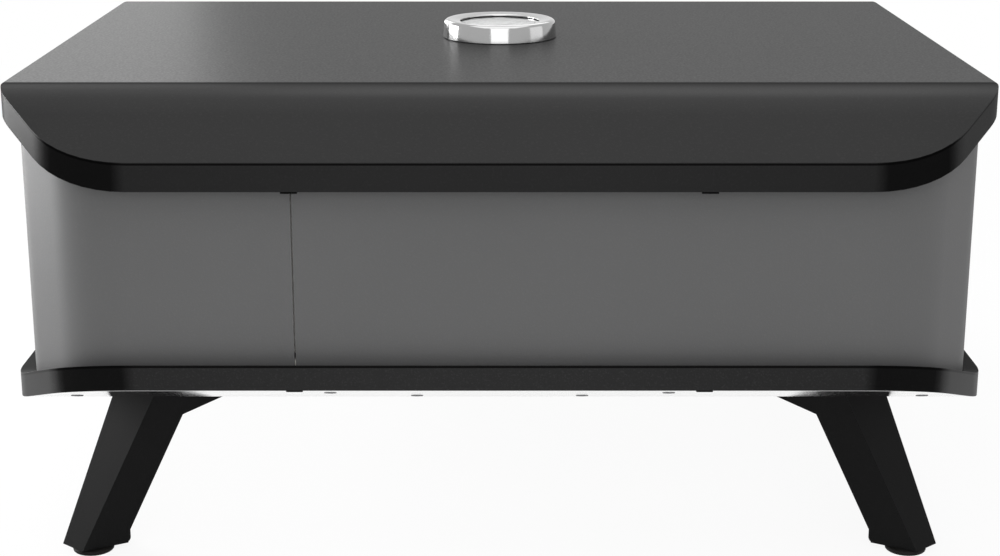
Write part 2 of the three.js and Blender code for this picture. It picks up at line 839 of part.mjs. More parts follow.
function buildValve() {
  const start = valveRearward - valveLength / 2;
  const end = valveRearward + valveLength / 2;
  const centre = [bayCentre, gasHeight];
  const bossEnd = wallInnerX - seatGap;
  const body = bar("y", valveRadius, start, end, centre, roundFacets);
  const boss = bar("x", valveBossRadius, bayCentre, bossEnd, [valveRearward, gasHeight], roundFacets);
  const stemBore = bar("x", stemRadius + boreGap, bossEnd - stemDepth, bossEnd + overrun, [valveRearward, gasHeight]);
  addPiece("gas_valve", geometryOf(cut(join(body, boss), stemBore)), brass);

  const stemStart = bossEnd - stemDepth + seatGap;
  const stem = bar("x", stemRadius, stemStart, knobBoreEnd - seatGap, [valveRearward, gasHeight]);
  addPiece("valve_stem", geometryOf(stem), darkSteel);

  const jetStart = end + seatGap;
  const jetBody = bar("y", jetRadius, jetStart, jetStart + jetLength - jetTipLength, centre, hexFacets);
  const jetTip = bar("y", jetTipRadius, jetStart, jetStart + jetLength, centre);
  addPiece("gas_jet", geometryOf(join(jetBody, jetTip)), brass);
}

// Turned skirt with a raised grip bar across it
function buildKnob() {
  const skirt = turnedAlongX([
    [0, 0],
    [knobRadius, 0],
    [knobRadius, knobSkirt - knobEdge],
    [knobRadius - knobEdge, knobSkirt],
    [0, knobSkirt],
  ]);
  const skirtSolid = solid(skirt.translate(knobFace, valveRearward, gasHeight));
  const gripRadius = knobRadius - gripInset;
  const knobEnd = knobFace + knobDepth;
  const gripRound = bar("x", gripRadius, knobFace, knobEnd, [valveRearward, gasHeight], roundFacets);
  const gripBlock = block(
    knobFace,
    knobEnd,
    valveRearward - knobGripWidth / 2,
    valveRearward + knobGripWidth / 2,
    gasHeight - knobRadius,
    gasHeight + knobRadius,
  );
  const bore = bar("x", stemRadius + boreGap, 0, knobBoreEnd, [valveRearward, gasHeight]);
  const knob = cut(join(skirtSolid, common(gripRound, gripBlock)), bore);
  addPiece("control_knob", geometryOf(knob), plastic);

  const bezel = bar("x", bezelRadius, wallOuterX + seatGap, bezelFace, [valveRearward, gasHeight], roundFacets);
  const bezelHole = bar("x", stemRadius + slideGap, 0, bodyWidth, [valveRearward, gasHeight]);
  addPiece("knob_bezel", geometryOf(cut(bezel, bezelHole)), stainless);
}

// Threaded brass fitting through the service panel, and the pipe from it to the valve
function buildGasInlet() {
  const z = gasHeight - inletDrop;
  const innerEnd = wallOuterX + inletOutside - inletLength;
  const centre = [inletRearward, z];
  const thread = bar("x", inletRadius, innerEnd, wallOuterX + inletOutside, centre, roundFacets);
  const flangeStart = wallOuterX + seatGap;
  const flange = bar("x", inletFlange, flangeStart, flangeStart + inletFlangeThickness, centre, hexFacets);
  const bore = bar("x", inletBore, innerEnd + inletWall, bodyWidth, centre);
  addPiece("gas_inlet", geometryOf(cut(join(thread, flange), bore)), brass);

  const valveBottom = gasHeight - valveRadius - seatGap;
  const pipeX = innerEnd - pipeStandOff - pipeBend;
  const path = new BentPath(
    [
      new THREE.Vector3(innerEnd - seatGap, inletRearward, z),
      new THREE.Vector3(pipeX, inletRearward, z),
      new THREE.Vector3(pipeX, valveRearward, z),
      new THREE.Vector3(bayCentre, valveRearward, z),
      new THREE.Vector3(bayCentre, valveRearward, valveBottom),
    ],
    pipeBend,
  );
  addPiece("gas_pipe", geometryOf(tubeAlong(path, pipeRadius, pipeSteps)), brass);
}

function buildIgniter() {
  const centre = [-igniterForward, gasHeight];
  const flangeStart = wallOuterX + seatGap;
  const flangeEnd = flangeStart + igniterFlangeThickness;
  const innerEnd = flangeEnd - igniterLength;
  const body = bar("x", igniterRadius, innerEnd, flangeEnd, centre, roundFacets);
  const flange = bar("x", igniterFlange, flangeStart, flangeEnd, centre, roundFacets);
  const buttonInner = flangeEnd + buttonShow - buttonLength;
  const boreStart = buttonInner - buttonTravel - seatGap;
  const bore = bar("x", buttonRadius + boreGap, boreStart, flangeEnd + overrun, centre, roundFacets);
  addPiece("igniter_body", geometryOf(cut(join(body, flange), bore)), plastic);

  const button = bar("x", buttonRadius, buttonInner, flangeEnd + buttonShow, centre, roundFacets);
  addPiece("igniter_button", geometryOf(button), signalRed);

  const [electrodeY, electrodeZ] = electrodePlace();
  const insulatorEnd = bayCentre - tubeRadius - insulatorInside;
  const insulatorStart = insulatorEnd - insulatorLength;
  const insulator = bar("x", insulatorRadius, insulatorStart, insulatorEnd, [electrodeY, electrodeZ]);
  const wireBore = bar("x", electrodeRadius + boreGap, 0, bodyWidth, [electrodeY, electrodeZ]);
  addPiece("electrode_insulator", geometryOf(cut(insulator, wireBore)), ceramic);

  const wireEnd = insulatorEnd + electrodeTail;
  const wirePath = new BentPath(
    [
      new THREE.Vector3(wireEnd, electrodeY, electrodeZ),
      new THREE.Vector3(insulatorStart - electrodeTip, electrodeY, electrodeZ),
      new THREE.Vector3(insulatorStart - electrodeTip, electrodeY - electrodeTip, electrodeZ - electrodeDip),
    ],
    electrodeBend,
  );
  addPiece("igniter_electrode", geometryOf(tubeAlong(wirePath, electrodeRadius, wireSteps, wireFacets)), darkSteel);

  const leadStart = innerEnd - seatGap;
  const leadX = leadStart - leadStandOff;
  const leadZ = gasHeight + leadRise;
  const leadPath = new BentPath(
    [
      new THREE.Vector3(leadStart, -igniterForward, gasHeight),
      new THREE.Vector3(leadX, -igniterForward, gasHeight),
      new THREE.Vector3(leadX, -igniterForward, leadZ),
      new THREE.Vector3(wireEnd + leadStandOff, electrodeY, leadZ),
      new THREE.Vector3(wireEnd + leadStandOff, electrodeY, electrodeZ),
      new THREE.Vector3(wireEnd + seatGap, electrodeY, electrodeZ),
    ],
    leadBend,
  );
  addPiece("igniter_lead", geometryOf(tubeAlong(leadPath, leadRadius, leadSteps, wireFacets)), rubber);
}

// Lid thermometer

function buildThermometer() {
  const gauge = new THREE.Group();
  gauge.position.set(0, -gaugeForward, lidTop + seatGap);
  oven.add(gauge);
  const caseTop = caseHeight;
  const glassBottom = caseTop + seatGap;
  const glassTop = glassBottom + glassThickness;
  const wall = caseRadius + boreGap;
  const bandTop = gaugeHeight - seatGap;
  const crest = gaugeTopRadius - gaugeCrownInset;
  const crown = new THREE.EllipseCurve(crest, bandTop, gaugeCrownInset, gaugeCrown, 0, Math.PI / 2);
  const bezel = turned(
    [
      [wall, 0],
      [gaugeBaseRadius, 0],
      ...crown.getPoints(crownFacets).map((point) => [point.x, point.y]),
      [gaugeWindowRadius, glassTop + seatGap + gaugeLip],
      [gaugeWindowRadius, glassTop + seatGap],
      [wall, glassTop + seatGap],
      [wall, 0],
    ],
    gaugeFacets,
  );
  addPiece("thermometer_bezel", bezel, chrome, gauge);

  const bossBore = probeRadius + boreGap;
  const housing = turned([
    [bossBore, -bossLength],
    [bossRadius, -bossLength],
    [bossRadius, 0],
    [caseRadius, 0],
    [caseRadius, caseTop],
    [caseRadius - caseWall, caseTop],
    [caseRadius - caseWall, caseFloor],
    [bossBore, caseFloor],
    [bossBore, -bossLength],
  ]);
  addPiece("thermometer_case", housing, blackPaint, gauge);

  const dialBottom = caseFloor + dialStandOff;
  const dialTop = dialBottom + dialThickness;
  const dialRadius = caseRadius - caseWall - boreGap;
  const dial = turned([
    [spindleRadius + boreGap, dialBottom],
    [dialRadius, dialBottom],
    [dialRadius, dialTop],
    [spindleRadius + boreGap, dialTop],
    [spindleRadius + boreGap, dialBottom],
  ]);
  addPiece("thermometer_dial", dial, dialFace, gauge);

  const pane = turned([
    [0, glassBottom],
    [caseRadius - boreGap, glassBottom],
    [caseRadius - boreGap, glassTop],
    [0, glassTop],
  ]);
  addPiece("thermometer_glass", pane, glass, gauge);
  const pointer = addPiece("thermometer_pointer", pointerGeometry(dialTop + pointerStandOff), signalRed, gauge);
  pointer.rotation.z = THREE.MathUtils.degToRad(pointerRest);

  const probeTop = caseFloor;
  const probe = turned([
    [0, -probeDepth],
    [probeRadius, -probeDepth],
    [probeRadius, probeTop],
    [probeBore, probeTop],
    [probeBore, probeTop - spindleLength],
    [0, probeTop - spindleLength],
  ]);
  addPiece("thermometer_probe", probe, stainless, gauge);

  const nutTop = -seatGap - lidSheet - seatGap;
  const nut = cut(
    bar("z", nutRadius, nutTop - nutThickness, nutTop, [0, 0], hexFacets),
    bar("z", bossRadius + boreGap, -bodyHeight, 0, [0, 0]),
  );
  addPiece("thermometer_nut", geometryOf(nut), brass, gauge);
}

// A tapered needle with a hub and a spindle that turns inside the probe's bore
function pointerGeometry(bottom) {
  const top = bottom + pointerThickness;
  const needle = upright(
    polygon([
      [-pointerTail, -pointerWidth / 2],
      [0, -pointerWidth / 2],
      [pointerLength, 0],
      [0, pointerWidth / 2],
      [-pointerTail, pointerWidth / 2],
    ]),
    bottom,
    top,
  );
  const hub = bar("z", pointerHub, bottom, top, [0, 0]);
  const spindle = bar("z", spindleRadius, caseFloor + seatGap - spindleLength / 2, top, [0, 0]);
  return geometryOf(join(needle, hub, spindle));
}

// One leg, bent from sheet, about its pivot: +X outwards in its swing plane, +Z up.
// The web lies in the swing plane and the outer face is folded from it along a splayed edge.
function legGeometry() {
  const top = pivotDrop - seatGap;
  const sole = soleZ - pivotZ;
  const foldTop = legReach - legSplayShare * (top - sole);
  const innerFoot = legReach - webFootWidth;
  const kneeAngle = Math.atan2(-kneeDrop, kneeLength);
  const kneeDistance = Math.hypot(kneeLength, kneeDrop);
  const web = new THREE.Shape();
  web.moveTo(legReach, sole);
  web.lineTo(foldTop, top);
  web.lineTo(eyeRadius + slideGap + plateThickness, top);
  web.lineTo(0, eyeRadius);
  web.absarc(0, 0, eyeRadius, Math.PI / 2, kneeAngle - Math.acos(eyeRadius / kneeDistance));
  web.lineTo(kneeLength, -kneeDrop);
  web.lineTo(innerFoot, sole + toeHeight);
  web.lineTo(innerFoot, sole + toeRadius);
  web.absarc(innerFoot + toeRadius, sole + toeRadius, toeRadius, Math.PI, 1.5 * Math.PI);
  web.closePath();
  const webPlate = acrossY(web, -legSheet, 0);
  const eyeHole = bar("y", pinRadius + boreGap, -overrun, overrun, [0, 0]);
  const stud = [legReach - footInward, -footSideways];
  const studHole = bar("z", footStudRadius + boreGap, sole - overrun, sole + flangeSheet + seatGap, stud);
  return cut(join(webPlate, outerFace(sole, top), footFlange(sole)), eyeHole, studHole);
}

// The outer face hangs from the splayed fold; its thickness is measured square to the sheet
function outerFace(sole, top) {
  const along = THREE.MathUtils.degToRad(legFoldAngle - 180);
  const across = new THREE.Vector3(Math.cos(along), Math.sin(along), 0);
  const up = new THREE.Vector3(-legSplayShare, 0, 1);
  const inward = new THREE.Vector3(Math.sin(along), -Math.cos(along), 0);
  const normal = across.clone().cross(up).normalize();
  const depth = legSheet / Math.abs(normal.dot(inward));
  const height = top - sole;
  const face = polygon([
    [0, 0],
    [outerFaceFoot, 0],
    [outerFaceTop, height],
    [0, height],
  ]);
  const basis = new THREE.Matrix4().makeBasis(across, up, inward);
  basis.setPosition(legReach, 0, sole);
  const geometry = extruded(face, depth).applyMatrix4(basis);
  return solid(basis.determinant() < 0 ? turnedInsideOut(geometry) : geometry);
}

// Horizontal tab between the web and the outer face, which the rubber foot is plugged into
function footFlange(sole) {
  const along = THREE.MathUtils.degToRad(legFoldAngle - 180);
  const foldX = legReach - flangeInset;
  const tab = polygon([
    [foldX, 0],
    [foldX - flangeLength, 0],
    [foldX - flangeLength, -flangeWidth],
    [foldX + flangeWidth * Math.cos(along), flangeWidth * Math.sin(along)],
  ]);
  return upright(tab, sole, sole + flangeSheet);
}

function turnedInsideOut(geometry) {
  const flipped = geometry.index ? geometry : mergeVertices(geometry);
  const index = flipped.index.array;
  for (let face = 0; face < index.length; face += 3) {
    [index[face], index[face + 1]] = [index[face + 1], index[face]];
  }
  return flipped;
}

function mirrored(geometry) {
  return turnedInsideOut(geometry.clone().scale(1, -1, 1));
}

// Clevis that carries a leg: a plate against the underside and two ears beside the web
function legBracket() {
  const top = pivotDrop - seatGap;
  const bottom = top - plateThickness;
  const middle = -legSheet / 2;
  const slotHalf = legSheet / 2 + slideGap;
  const plate = block(-plateInner, plateOuter, middle - plateHalfWidth, middle + plateHalfWidth, bottom, top);
  const slot = block(-slotReach, plateOuter + overrun, middle - slotHalf, middle + slotHalf, -overrun, overrun);
  const ear = new THREE.Shape();
  ear.moveTo(earRadius, top);
  ear.lineTo(-earRadius, top);
  ear.lineTo(-earRadius, 0);
  ear.absarc(0, 0, earRadius, Math.PI, 2 * Math.PI);
  ear.closePath();
  const ears = acrossY(ear, middle - slotHalf - earThickness, middle + slotHalf + earThickness);
  const hole = bar("y", pinRadius + boreGap, -overrun, overrun, [0, 0]);
  return cut(join(plate, ears), slot, hole);
}

// Headed pin through both ears and the leg's eye
function legPin() {
  const middle = -legSheet / 2;
  const earFace = legSheet / 2 + slideGap + earThickness + seatGap;
  const end = earFace + pinHeadThickness;
  const shank = bar("y", pinRadius, middle - end, middle + end, [0, 0]);
  const nearHead = bar("y", pinHeadRadius, middle + earFace, middle + end, [0, 0]);
  const farHead = bar("y", pinHeadRadius, middle - end, middle - earFace, [0, 0]);
  return join(shank, nearHead, farHead);
}

function legFoot() {
  const stemTop = footThickness + seatGap + flangeSheet + seatGap;
  const profile = [
    [0, 0],
    [footRadius - footEdge, 0],
    [footRadius, footEdge],
    [footRadius, footThickness - footEdge],
    [footRadius - footEdge, footThickness],
    [footStudRadius, footThickness],
    [footStudRadius, stemTop],
    [footHeadRadius, stemTop],
    [footStudRadius, stemTop + footHeadHeight],
    [0, stemTop + footHeadHeight],
  ];
  return turned(profile, roundFacets).translate(legReach - footInward, -footSideways, -pivotZ);
}

function buildLegs() {
  const yaw = THREE.MathUtils.degToRad(legYaw);
  const pivotX = bodyWidth / 2 - legSideSetback - legReach * Math.cos(yaw);
  const pivotY = bodyDepth / 2 - legEndSetback - legReach * Math.sin(yaw);
  const forms = {
    leg: [geometryOf(legGeometry()), blackPaint],
    leg_bracket: [geometryOf(legBracket()), darkSteel],
    leg_pin: [geometryOf(legPin()), stainless],
    leg_foot: [legFoot(), rubber],
  };
  const corners = { rear_right: [1, 1], rear_left: [-1, 1], front_left: [-1, -1], front_right: [1, -1] };
  Object.entries(corners).forEach(([corner, [sideX, sideY]]) => {
    const group = new THREE.Group();
    group.position.set(sideX * pivotX, sideY * pivotY, pivotZ);
    group.rotation.z = Math.atan2(sideY * Math.sin(yaw), sideX * Math.cos(yaw));
    oven.add(group);
    Object.entries(forms).forEach(([form, [geometry, finish]]) => {
      const handed = sideX * sideY > 0 ? geometry : mirrored(geometry);
      addPiece(`${form}_${corner}`, handed, finish, group);
    });
  });
}

buildLid();
buildBase();
buildWalls();
buildMouthFrame();
buildCookingFloor();
buildChamber();
buildBlanket();
buildBurner();
burnerBracket("burner_bracket_left", -bracketSpacing / 2);
burnerBracket("burner_bracket_right", bracketSpacing / 2);
buildFlameGuard();
buildAirShutter();
buildValve();
buildKnob();
buildGasInlet();
buildIgniter();
buildThermometer();
buildLegs();

export default oven;
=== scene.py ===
"""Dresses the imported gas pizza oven: finishes, small fasteners, dial print, studio and camera."""
import json
import logging
import math
from dataclasses import dataclass
from enum import Enum
from typing import Any

import bmesh
import bpy
from mathutils import Matrix, Vector


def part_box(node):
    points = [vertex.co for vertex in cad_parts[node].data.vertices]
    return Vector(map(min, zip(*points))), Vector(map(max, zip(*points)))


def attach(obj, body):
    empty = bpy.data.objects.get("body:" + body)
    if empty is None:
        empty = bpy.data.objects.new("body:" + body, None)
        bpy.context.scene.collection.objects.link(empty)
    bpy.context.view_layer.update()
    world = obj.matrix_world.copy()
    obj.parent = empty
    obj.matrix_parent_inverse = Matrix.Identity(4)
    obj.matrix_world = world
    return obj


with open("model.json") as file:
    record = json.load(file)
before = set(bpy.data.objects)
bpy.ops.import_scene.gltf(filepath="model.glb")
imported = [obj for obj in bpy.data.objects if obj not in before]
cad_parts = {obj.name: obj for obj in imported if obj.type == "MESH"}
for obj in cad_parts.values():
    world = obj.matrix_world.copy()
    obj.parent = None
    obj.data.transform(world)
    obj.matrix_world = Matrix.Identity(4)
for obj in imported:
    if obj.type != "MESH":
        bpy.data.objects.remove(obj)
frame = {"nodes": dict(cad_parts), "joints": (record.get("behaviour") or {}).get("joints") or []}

Colour = tuple[float, float, float]
Point = tuple[float, float, float]
Span = tuple[float, float]
Pair = tuple[float, float]
Pairs = tuple[Pair, ...]
Shape = bmesh.types.BMesh

LOG = logging.getLogger("oven")
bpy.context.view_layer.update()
NOISE_MEAN = 0.5


class Grain(Enum):
    """Direction in which a sheet was rolled, as streaks per metre along x, y and z."""

    ALONG_X = (3.0, 900.0, 900.0)
    ALONG_Y = (900.0, 3.0, 900.0)
    ALONG_Z = (900.0, 900.0, 3.0)


class Corner(Enum):
    """The four legs, by the sides of the oven that they stand on."""

    REAR_RIGHT = (1, 1)
    REAR_LEFT = (-1, 1)
    FRONT_LEFT = (-1, -1)
    FRONT_RIGHT = (1, -1)

    @property
    def label(self) -> str:
        """The ending that this corner's node names carry."""
        return self.name.lower()


def tinted(colour: Colour, factor: float, lift: float = 0.0) -> Colour:
    """A colour made lighter or darker, and lifted, up to white."""
    return tuple(min(1.0, level * factor + lift) for level in colour)


def opaque(colour: Colour) -> tuple[float, float, float, float]:
    """A colour with its alpha."""
    return (*colour, 1.0)


class Signal:
    """One output of a node, which adds Math nodes when it is used in an expression."""

    def __init__(self, nodes: "Nodes", made: bpy.types.Node, output: str | int) -> None:
        """Wraps an output.

        Args:
            nodes: The node tree that the node belongs to.
            made: The node.
            output: The name or the index of its output.
        """
        self.nodes = nodes
        self.made = made
        self.output = output

    @property
    def socket(self) -> bpy.types.NodeSocket:
        """The wrapped socket."""
        return self.made.outputs[self.output]

    def out(self, output: str) -> "Signal":
        """Another output of the same node."""
        return Signal(self.nodes, self.made, output)

    def __add__(self, other: "Signal | float") -> "Signal":
        """Sum of this and another value."""
        return self.nodes.math("ADD", self, other)

    def __radd__(self, other: float) -> "Signal":
        """Sum of a number and this."""
        return self.nodes.math("ADD", other, self)

    def __sub__(self, other: "Signal | float") -> "Signal":
        """This less another value."""
        return self.nodes.math("SUBTRACT", self, other)

    def __rsub__(self, other: float) -> "Signal":
        """A number less this."""
        return self.nodes.math("SUBTRACT", other, self)

    def __mul__(self, other: "Signal | float") -> "Signal":
        """Product of this and another value."""
        return self.nodes.math("MULTIPLY", self, other)

    def __rmul__(self, other: float) -> "Signal":
        """Product of a number and this."""
        return self.nodes.math("MULTIPLY", other, self)

    def __truediv__(self, other: "Signal | float") -> "Signal":
        """This divided by another value."""
        return self.nodes.math("DIVIDE", self, other)

    def __rtruediv__(self, other: float) -> "Signal":
        """A number divided by this."""
        return self.nodes.math("DIVIDE", other, self)


class Nodes:
    """The tree of a material, the world or a node group, with the one way to add nodes to it."""

    def __init__(self, tree: bpy.types.NodeTree) -> None:
        """Empties the tree.

        Args:
            tree: The tree that nodes are added to.
        """
        self.tree = tree
        self.tree.nodes.clear()

    def node(
        self,
        kind: str,
        settings: dict[str, Any] | None = None,
        inputs: dict[str | int, Any] | None = None,
        output: str | int = 0,
    ) -> Signal:
        """Adds a node.

        Args:
            kind: Blender's type name of the node.
            settings: Properties set first. "stops" fills a ramp with (position, level) pairs.
            inputs: Values or signals for the node's sockets, by name or index.
            output: The output to return.

        Returns:
            The chosen output as a signal.
        """
        made = self.tree.nodes.new(kind)
        for name, value in (settings or {}).items():
            if name == "stops":
                self._fill_ramp(made.color_ramp, value)
            else:
                setattr(made, name, value)
        self.feed(made, inputs or {})
        return Signal(self, made, output)

    def feed(self, made: bpy.types.Node, inputs: dict[str | int, Any]) -> None:
        """Sets or links a node's sockets.

        Args:
            made: The node.
            inputs: Values or signals for its sockets, by name or index.
        """
        for name, value in inputs.items():
            if isinstance(value, Signal):
                self.tree.links.new(value.socket, made.inputs[name])
            else:
                made.inputs[name].default_value = value

    @staticmethod
    def _fill_ramp(ramp: bpy.types.ColorRamp, stops: Pairs) -> None:
        """Sets a ramp's stops to grey levels.

        Args:
            ramp: The ramp.
            stops: The (position, level) pairs.
        """
        for element, (position, level) in zip(ramp.elements, stops, strict=True):
            element.position = position
            element.color = (level, level, level, 1.0)

    def math(self, operation: str, *values: Signal | float, clamp: bool = False) -> Signal:
        """Adds a Math node.

        Args:
            operation: Blender's name of the operation.
            values: The node's inputs, in order.
            clamp: Whether the result is kept from 0 to 1.

        Returns:
            The result.
        """
        settings = {"operation": operation, "use_clamp": clamp}
        return self.node("ShaderNodeMath", settings, dict(enumerate(values)))

    def greatest(self, first: Signal | float, second: Signal | float) -> Signal:
        """The greater of two values."""
        return self.math("MAXIMUM", first, second)

    def size_of(self, value: Signal) -> Signal:
        """A value without its sign."""
        return self.math("ABSOLUTE", value)

    def part(self, vector: Signal, axis: str) -> Signal:
        """One component of a vector."""
        return self.node("ShaderNodeSeparateXYZ", {}, {0: vector}, axis)

    def above(self, value: Signal, bound: float, blur: float) -> Signal:
        """1 above a bound and 0 below it, fading over the width of the blur."""
        return self.math("ADD", (value - bound) / blur, 0.5, clamp=True)

    def below(self, value: Signal, bound: float, blur: float) -> Signal:
        """1 below a bound and 0 above it, fading over the width of the blur."""
        return self.math("ADD", (bound - value) / blur, 0.5, clamp=True)

    def between(self, value: Signal, span: Span, blur: float) -> Signal:
        """1 inside a span and 0 outside it, fading over the width of the blur."""
        return self.above(value, span[0], blur) * self.below(value, span[1], blur)

    def blend(self, first: Signal, second: Signal, share: float) -> Signal:
        """Two levels added, the second one with the given share."""
        return first * (1 - share) + second * share

    def about(self, level: Signal | float, *parts: tuple[Signal, float]) -> Signal:
        """A level that noises vary.

        Args:
            level: The level at the noises' mean.
            parts: Each noise, with the change that its full range makes.

        Returns:
            The varied level.
        """
        for noise, change in parts:
            level = level + (noise - NOISE_MEAN) * change
        return level


class Graph(Nodes):
    """The nodes of one material, with its Principled shader."""

    COLOUR_A, COLOUR_B, COLOUR_RESULT = 6, 7, 2

    def __init__(self, name: str) -> None:
        """Makes a material with a plain shader.

        Args:
            name: The material's name.
        """
        self.material = bpy.data.materials.new(name)
        self.material.use_nodes = True
        super().__init__(self.material.node_tree)
        self.shader = self.node("ShaderNodeBsdfPrincipled", output="BSDF")
        self.node("ShaderNodeOutputMaterial", {}, {"Surface": self.shader})
        self.place = self.node("ShaderNodeTexCoord", output="Object")

    def set(self, **inputs: Any) -> None:
        """Sets the shader's sockets, written with underscores for spaces."""
        self.feed(self.shader.made, {name.replace("_", " "): inputs[name] for name in inputs})

    def noise(self, cells: float, detail: float, place: Signal | None = None) -> Signal:
        """Noise over the surface.

        Args:
            cells: Cells per metre.
            detail: Layers of finer noise.
            place: The coordinates to read, the object's own by default.

        Returns:
            Levels that lie about the noise mean.
        """
        inputs = {"Vector": place or self.place, "Scale": cells, "Detail": detail}
        return self.node("ShaderNodeTexNoise", {"noise_dimensions": "3D"}, inputs, "Fac")

    def points(self, cells: float) -> Signal:
        """Distance to the nearest of scattered points, one in each of so many cells per metre."""
        inputs = {"Vector": self.place, "Scale": cells}
        return self.node("ShaderNodeTexVoronoi", {}, inputs, "Distance")

    def rising(self, level: Signal, span: Span) -> Signal:
        """0 up to the start of a span and 1 from its end on."""
        stops = ((span[0], 0.0), (span[1], 1.0))
        return self.node("ShaderNodeValToRGB", {"stops": stops}, {"Fac": level})

    def stretched(self, factors: Point) -> Signal:
        """The object's coordinates, multiplied along each axis."""
        inputs = {0: self.place, 1: factors}
        return self.node("ShaderNodeVectorMath", {"operation": "MULTIPLY"}, inputs)

    def mix(
        self, factor: Signal | float, first: Signal | Colour, second: Signal | Colour
    ) -> Signal:
        """A mix of two colours.

        Args:
            factor: The share of the second colour.
            first: The first colour.
            second: The second colour.

        Returns:
            The mixed colour.
        """
        inputs = {0: factor}
        for index, colour in ((self.COLOUR_A, first), (self.COLOUR_B, second)):
            inputs[index] = colour if isinstance(colour, Signal) else opaque(colour)
        settings = {"data_type": "RGBA", "clamp_factor": True}
        return self.node("ShaderNodeMix", settings, inputs, self.COLOUR_RESULT)

    def height(self) -> Signal:
        """The height above the floor, in metres."""
        return self.part(self.place, "Z")

    def facing(self) -> Signal:
        """The direction that the surface faces, in the row frame."""
        return self.place.out("Normal")

    def distance(self, centre: Point) -> Signal:
        """The distance from a point of the row frame, in metres."""
        inputs = {0: self.place, 1: centre}
        return self.node("ShaderNodeVectorMath", {"operation": "DISTANCE"}, inputs, "Value")

    def near(self, centre: Point, reach: float) -> Signal:
        """1 at a point of the row frame, falling to 0 at the reach, in metres."""
        return self.math("SUBTRACT", 1.0, self.distance(centre) / reach, clamp=True)

    def relief(self, height: Signal, depth: float) -> Signal:
        """A normal from a height of 0 to 1 with the given depth, in metres."""
        inputs = {"Height": height, "Distance": depth, "Strength": 1.0}
        return self.node("ShaderNodeBump", {}, inputs, "Normal")


@dataclass(frozen=True)
class Fold:
    """The bend of a cover at the front and rear, and its fall over run from there on.

    A fall below zero is a rise. A level is a height measured from the sheet: the height plus
    the fall times the distance past the bend.
    """

    fall: float = 0.0
    bend_y: float = 0.213

    def level(self, nodes: Nodes, place: Signal) -> Signal:
        """The level of a place.

        Args:
            nodes: The tree of a material or a node group.
            place: The place in the row frame, in metres.

        Returns:
            Its level, in metres.
        """
        along = nodes.size_of(nodes.part(place, "Y"))
        past = nodes.greatest(along - self.bend_y, 0.0)
        return nodes.part(place, "Z") + past * self.fall


LID_FOLD = Fold(fall=32.5 / 70)
BASE_FOLD = Fold(fall=-28.5 / 70)


@dataclass(frozen=True)
class Finish:
    """A finish that builds its own material."""

    name: str

    def material(self) -> bpy.types.Material:
        """Builds the material.

        Returns:
            The material.
        """
        graph = Graph(self.name)
        self.dress(graph)
        return graph.material

    def dress(self, graph: Graph) -> None:
        """Sets the shader's sockets. Each finish does this in its own way."""
        raise NotImplementedError


@dataclass(frozen=True)
class PowderCoat(Finish):
    """Baked powder paint: an even colour with a fine orange-peel grain and pale flecks."""

    colour: Colour
    roughness: float
    gloss: float
    fleck: float = 0.25
    fleck_tint: Pair = (2.2, 0.004)
    fleck_span: Span = (0.56, 0.72)
    grain: float = 900.0
    depth: float = 0.00006
    cloud: float = 5.0
    cloud_tints: Pair = (0.92, 1.07)
    grain_change: float = 0.2
    cloud_change: float = 0.04
    coat_roughness: float = 0.32

    def dress(self, graph: Graph) -> None:
        """Flecks and clouds in the colour, grain in the roughness and relief.

        Args:
            graph: The material's nodes.
        """
        grain = graph.noise(self.grain, detail=1.0)
        cloud = graph.noise(self.cloud, detail=3.0)
        low, high = (tinted(self.colour, tint) for tint in self.cloud_tints)
        flecks = graph.rising(grain, self.fleck_span) * self.fleck
        pale = tinted(self.colour, *self.fleck_tint)
        graph.set(
            Base_Color=self.shaded(graph, graph.mix(flecks, graph.mix(cloud, low, high), pale)),
            Roughness=graph.about(
                self.roughness, (grain, self.grain_change), (cloud, self.cloud_change)
            ),
            Specular_IOR_Level=self.gloss,
            Coat_Weight=self.sheen(graph, grain),
            Coat_Roughness=self.coat_roughness,
            Normal=graph.relief(grain, self.depth),
        )

    def shaded(self, graph: Graph, body: Signal) -> Signal:
        """The coat's colour as it is, for a plain sheet."""
        return body

    def sheen(self, graph: Graph, grain: Signal) -> Signal | float:
        """The clear coat's weight: none on a plain sheet."""
        return 0.0


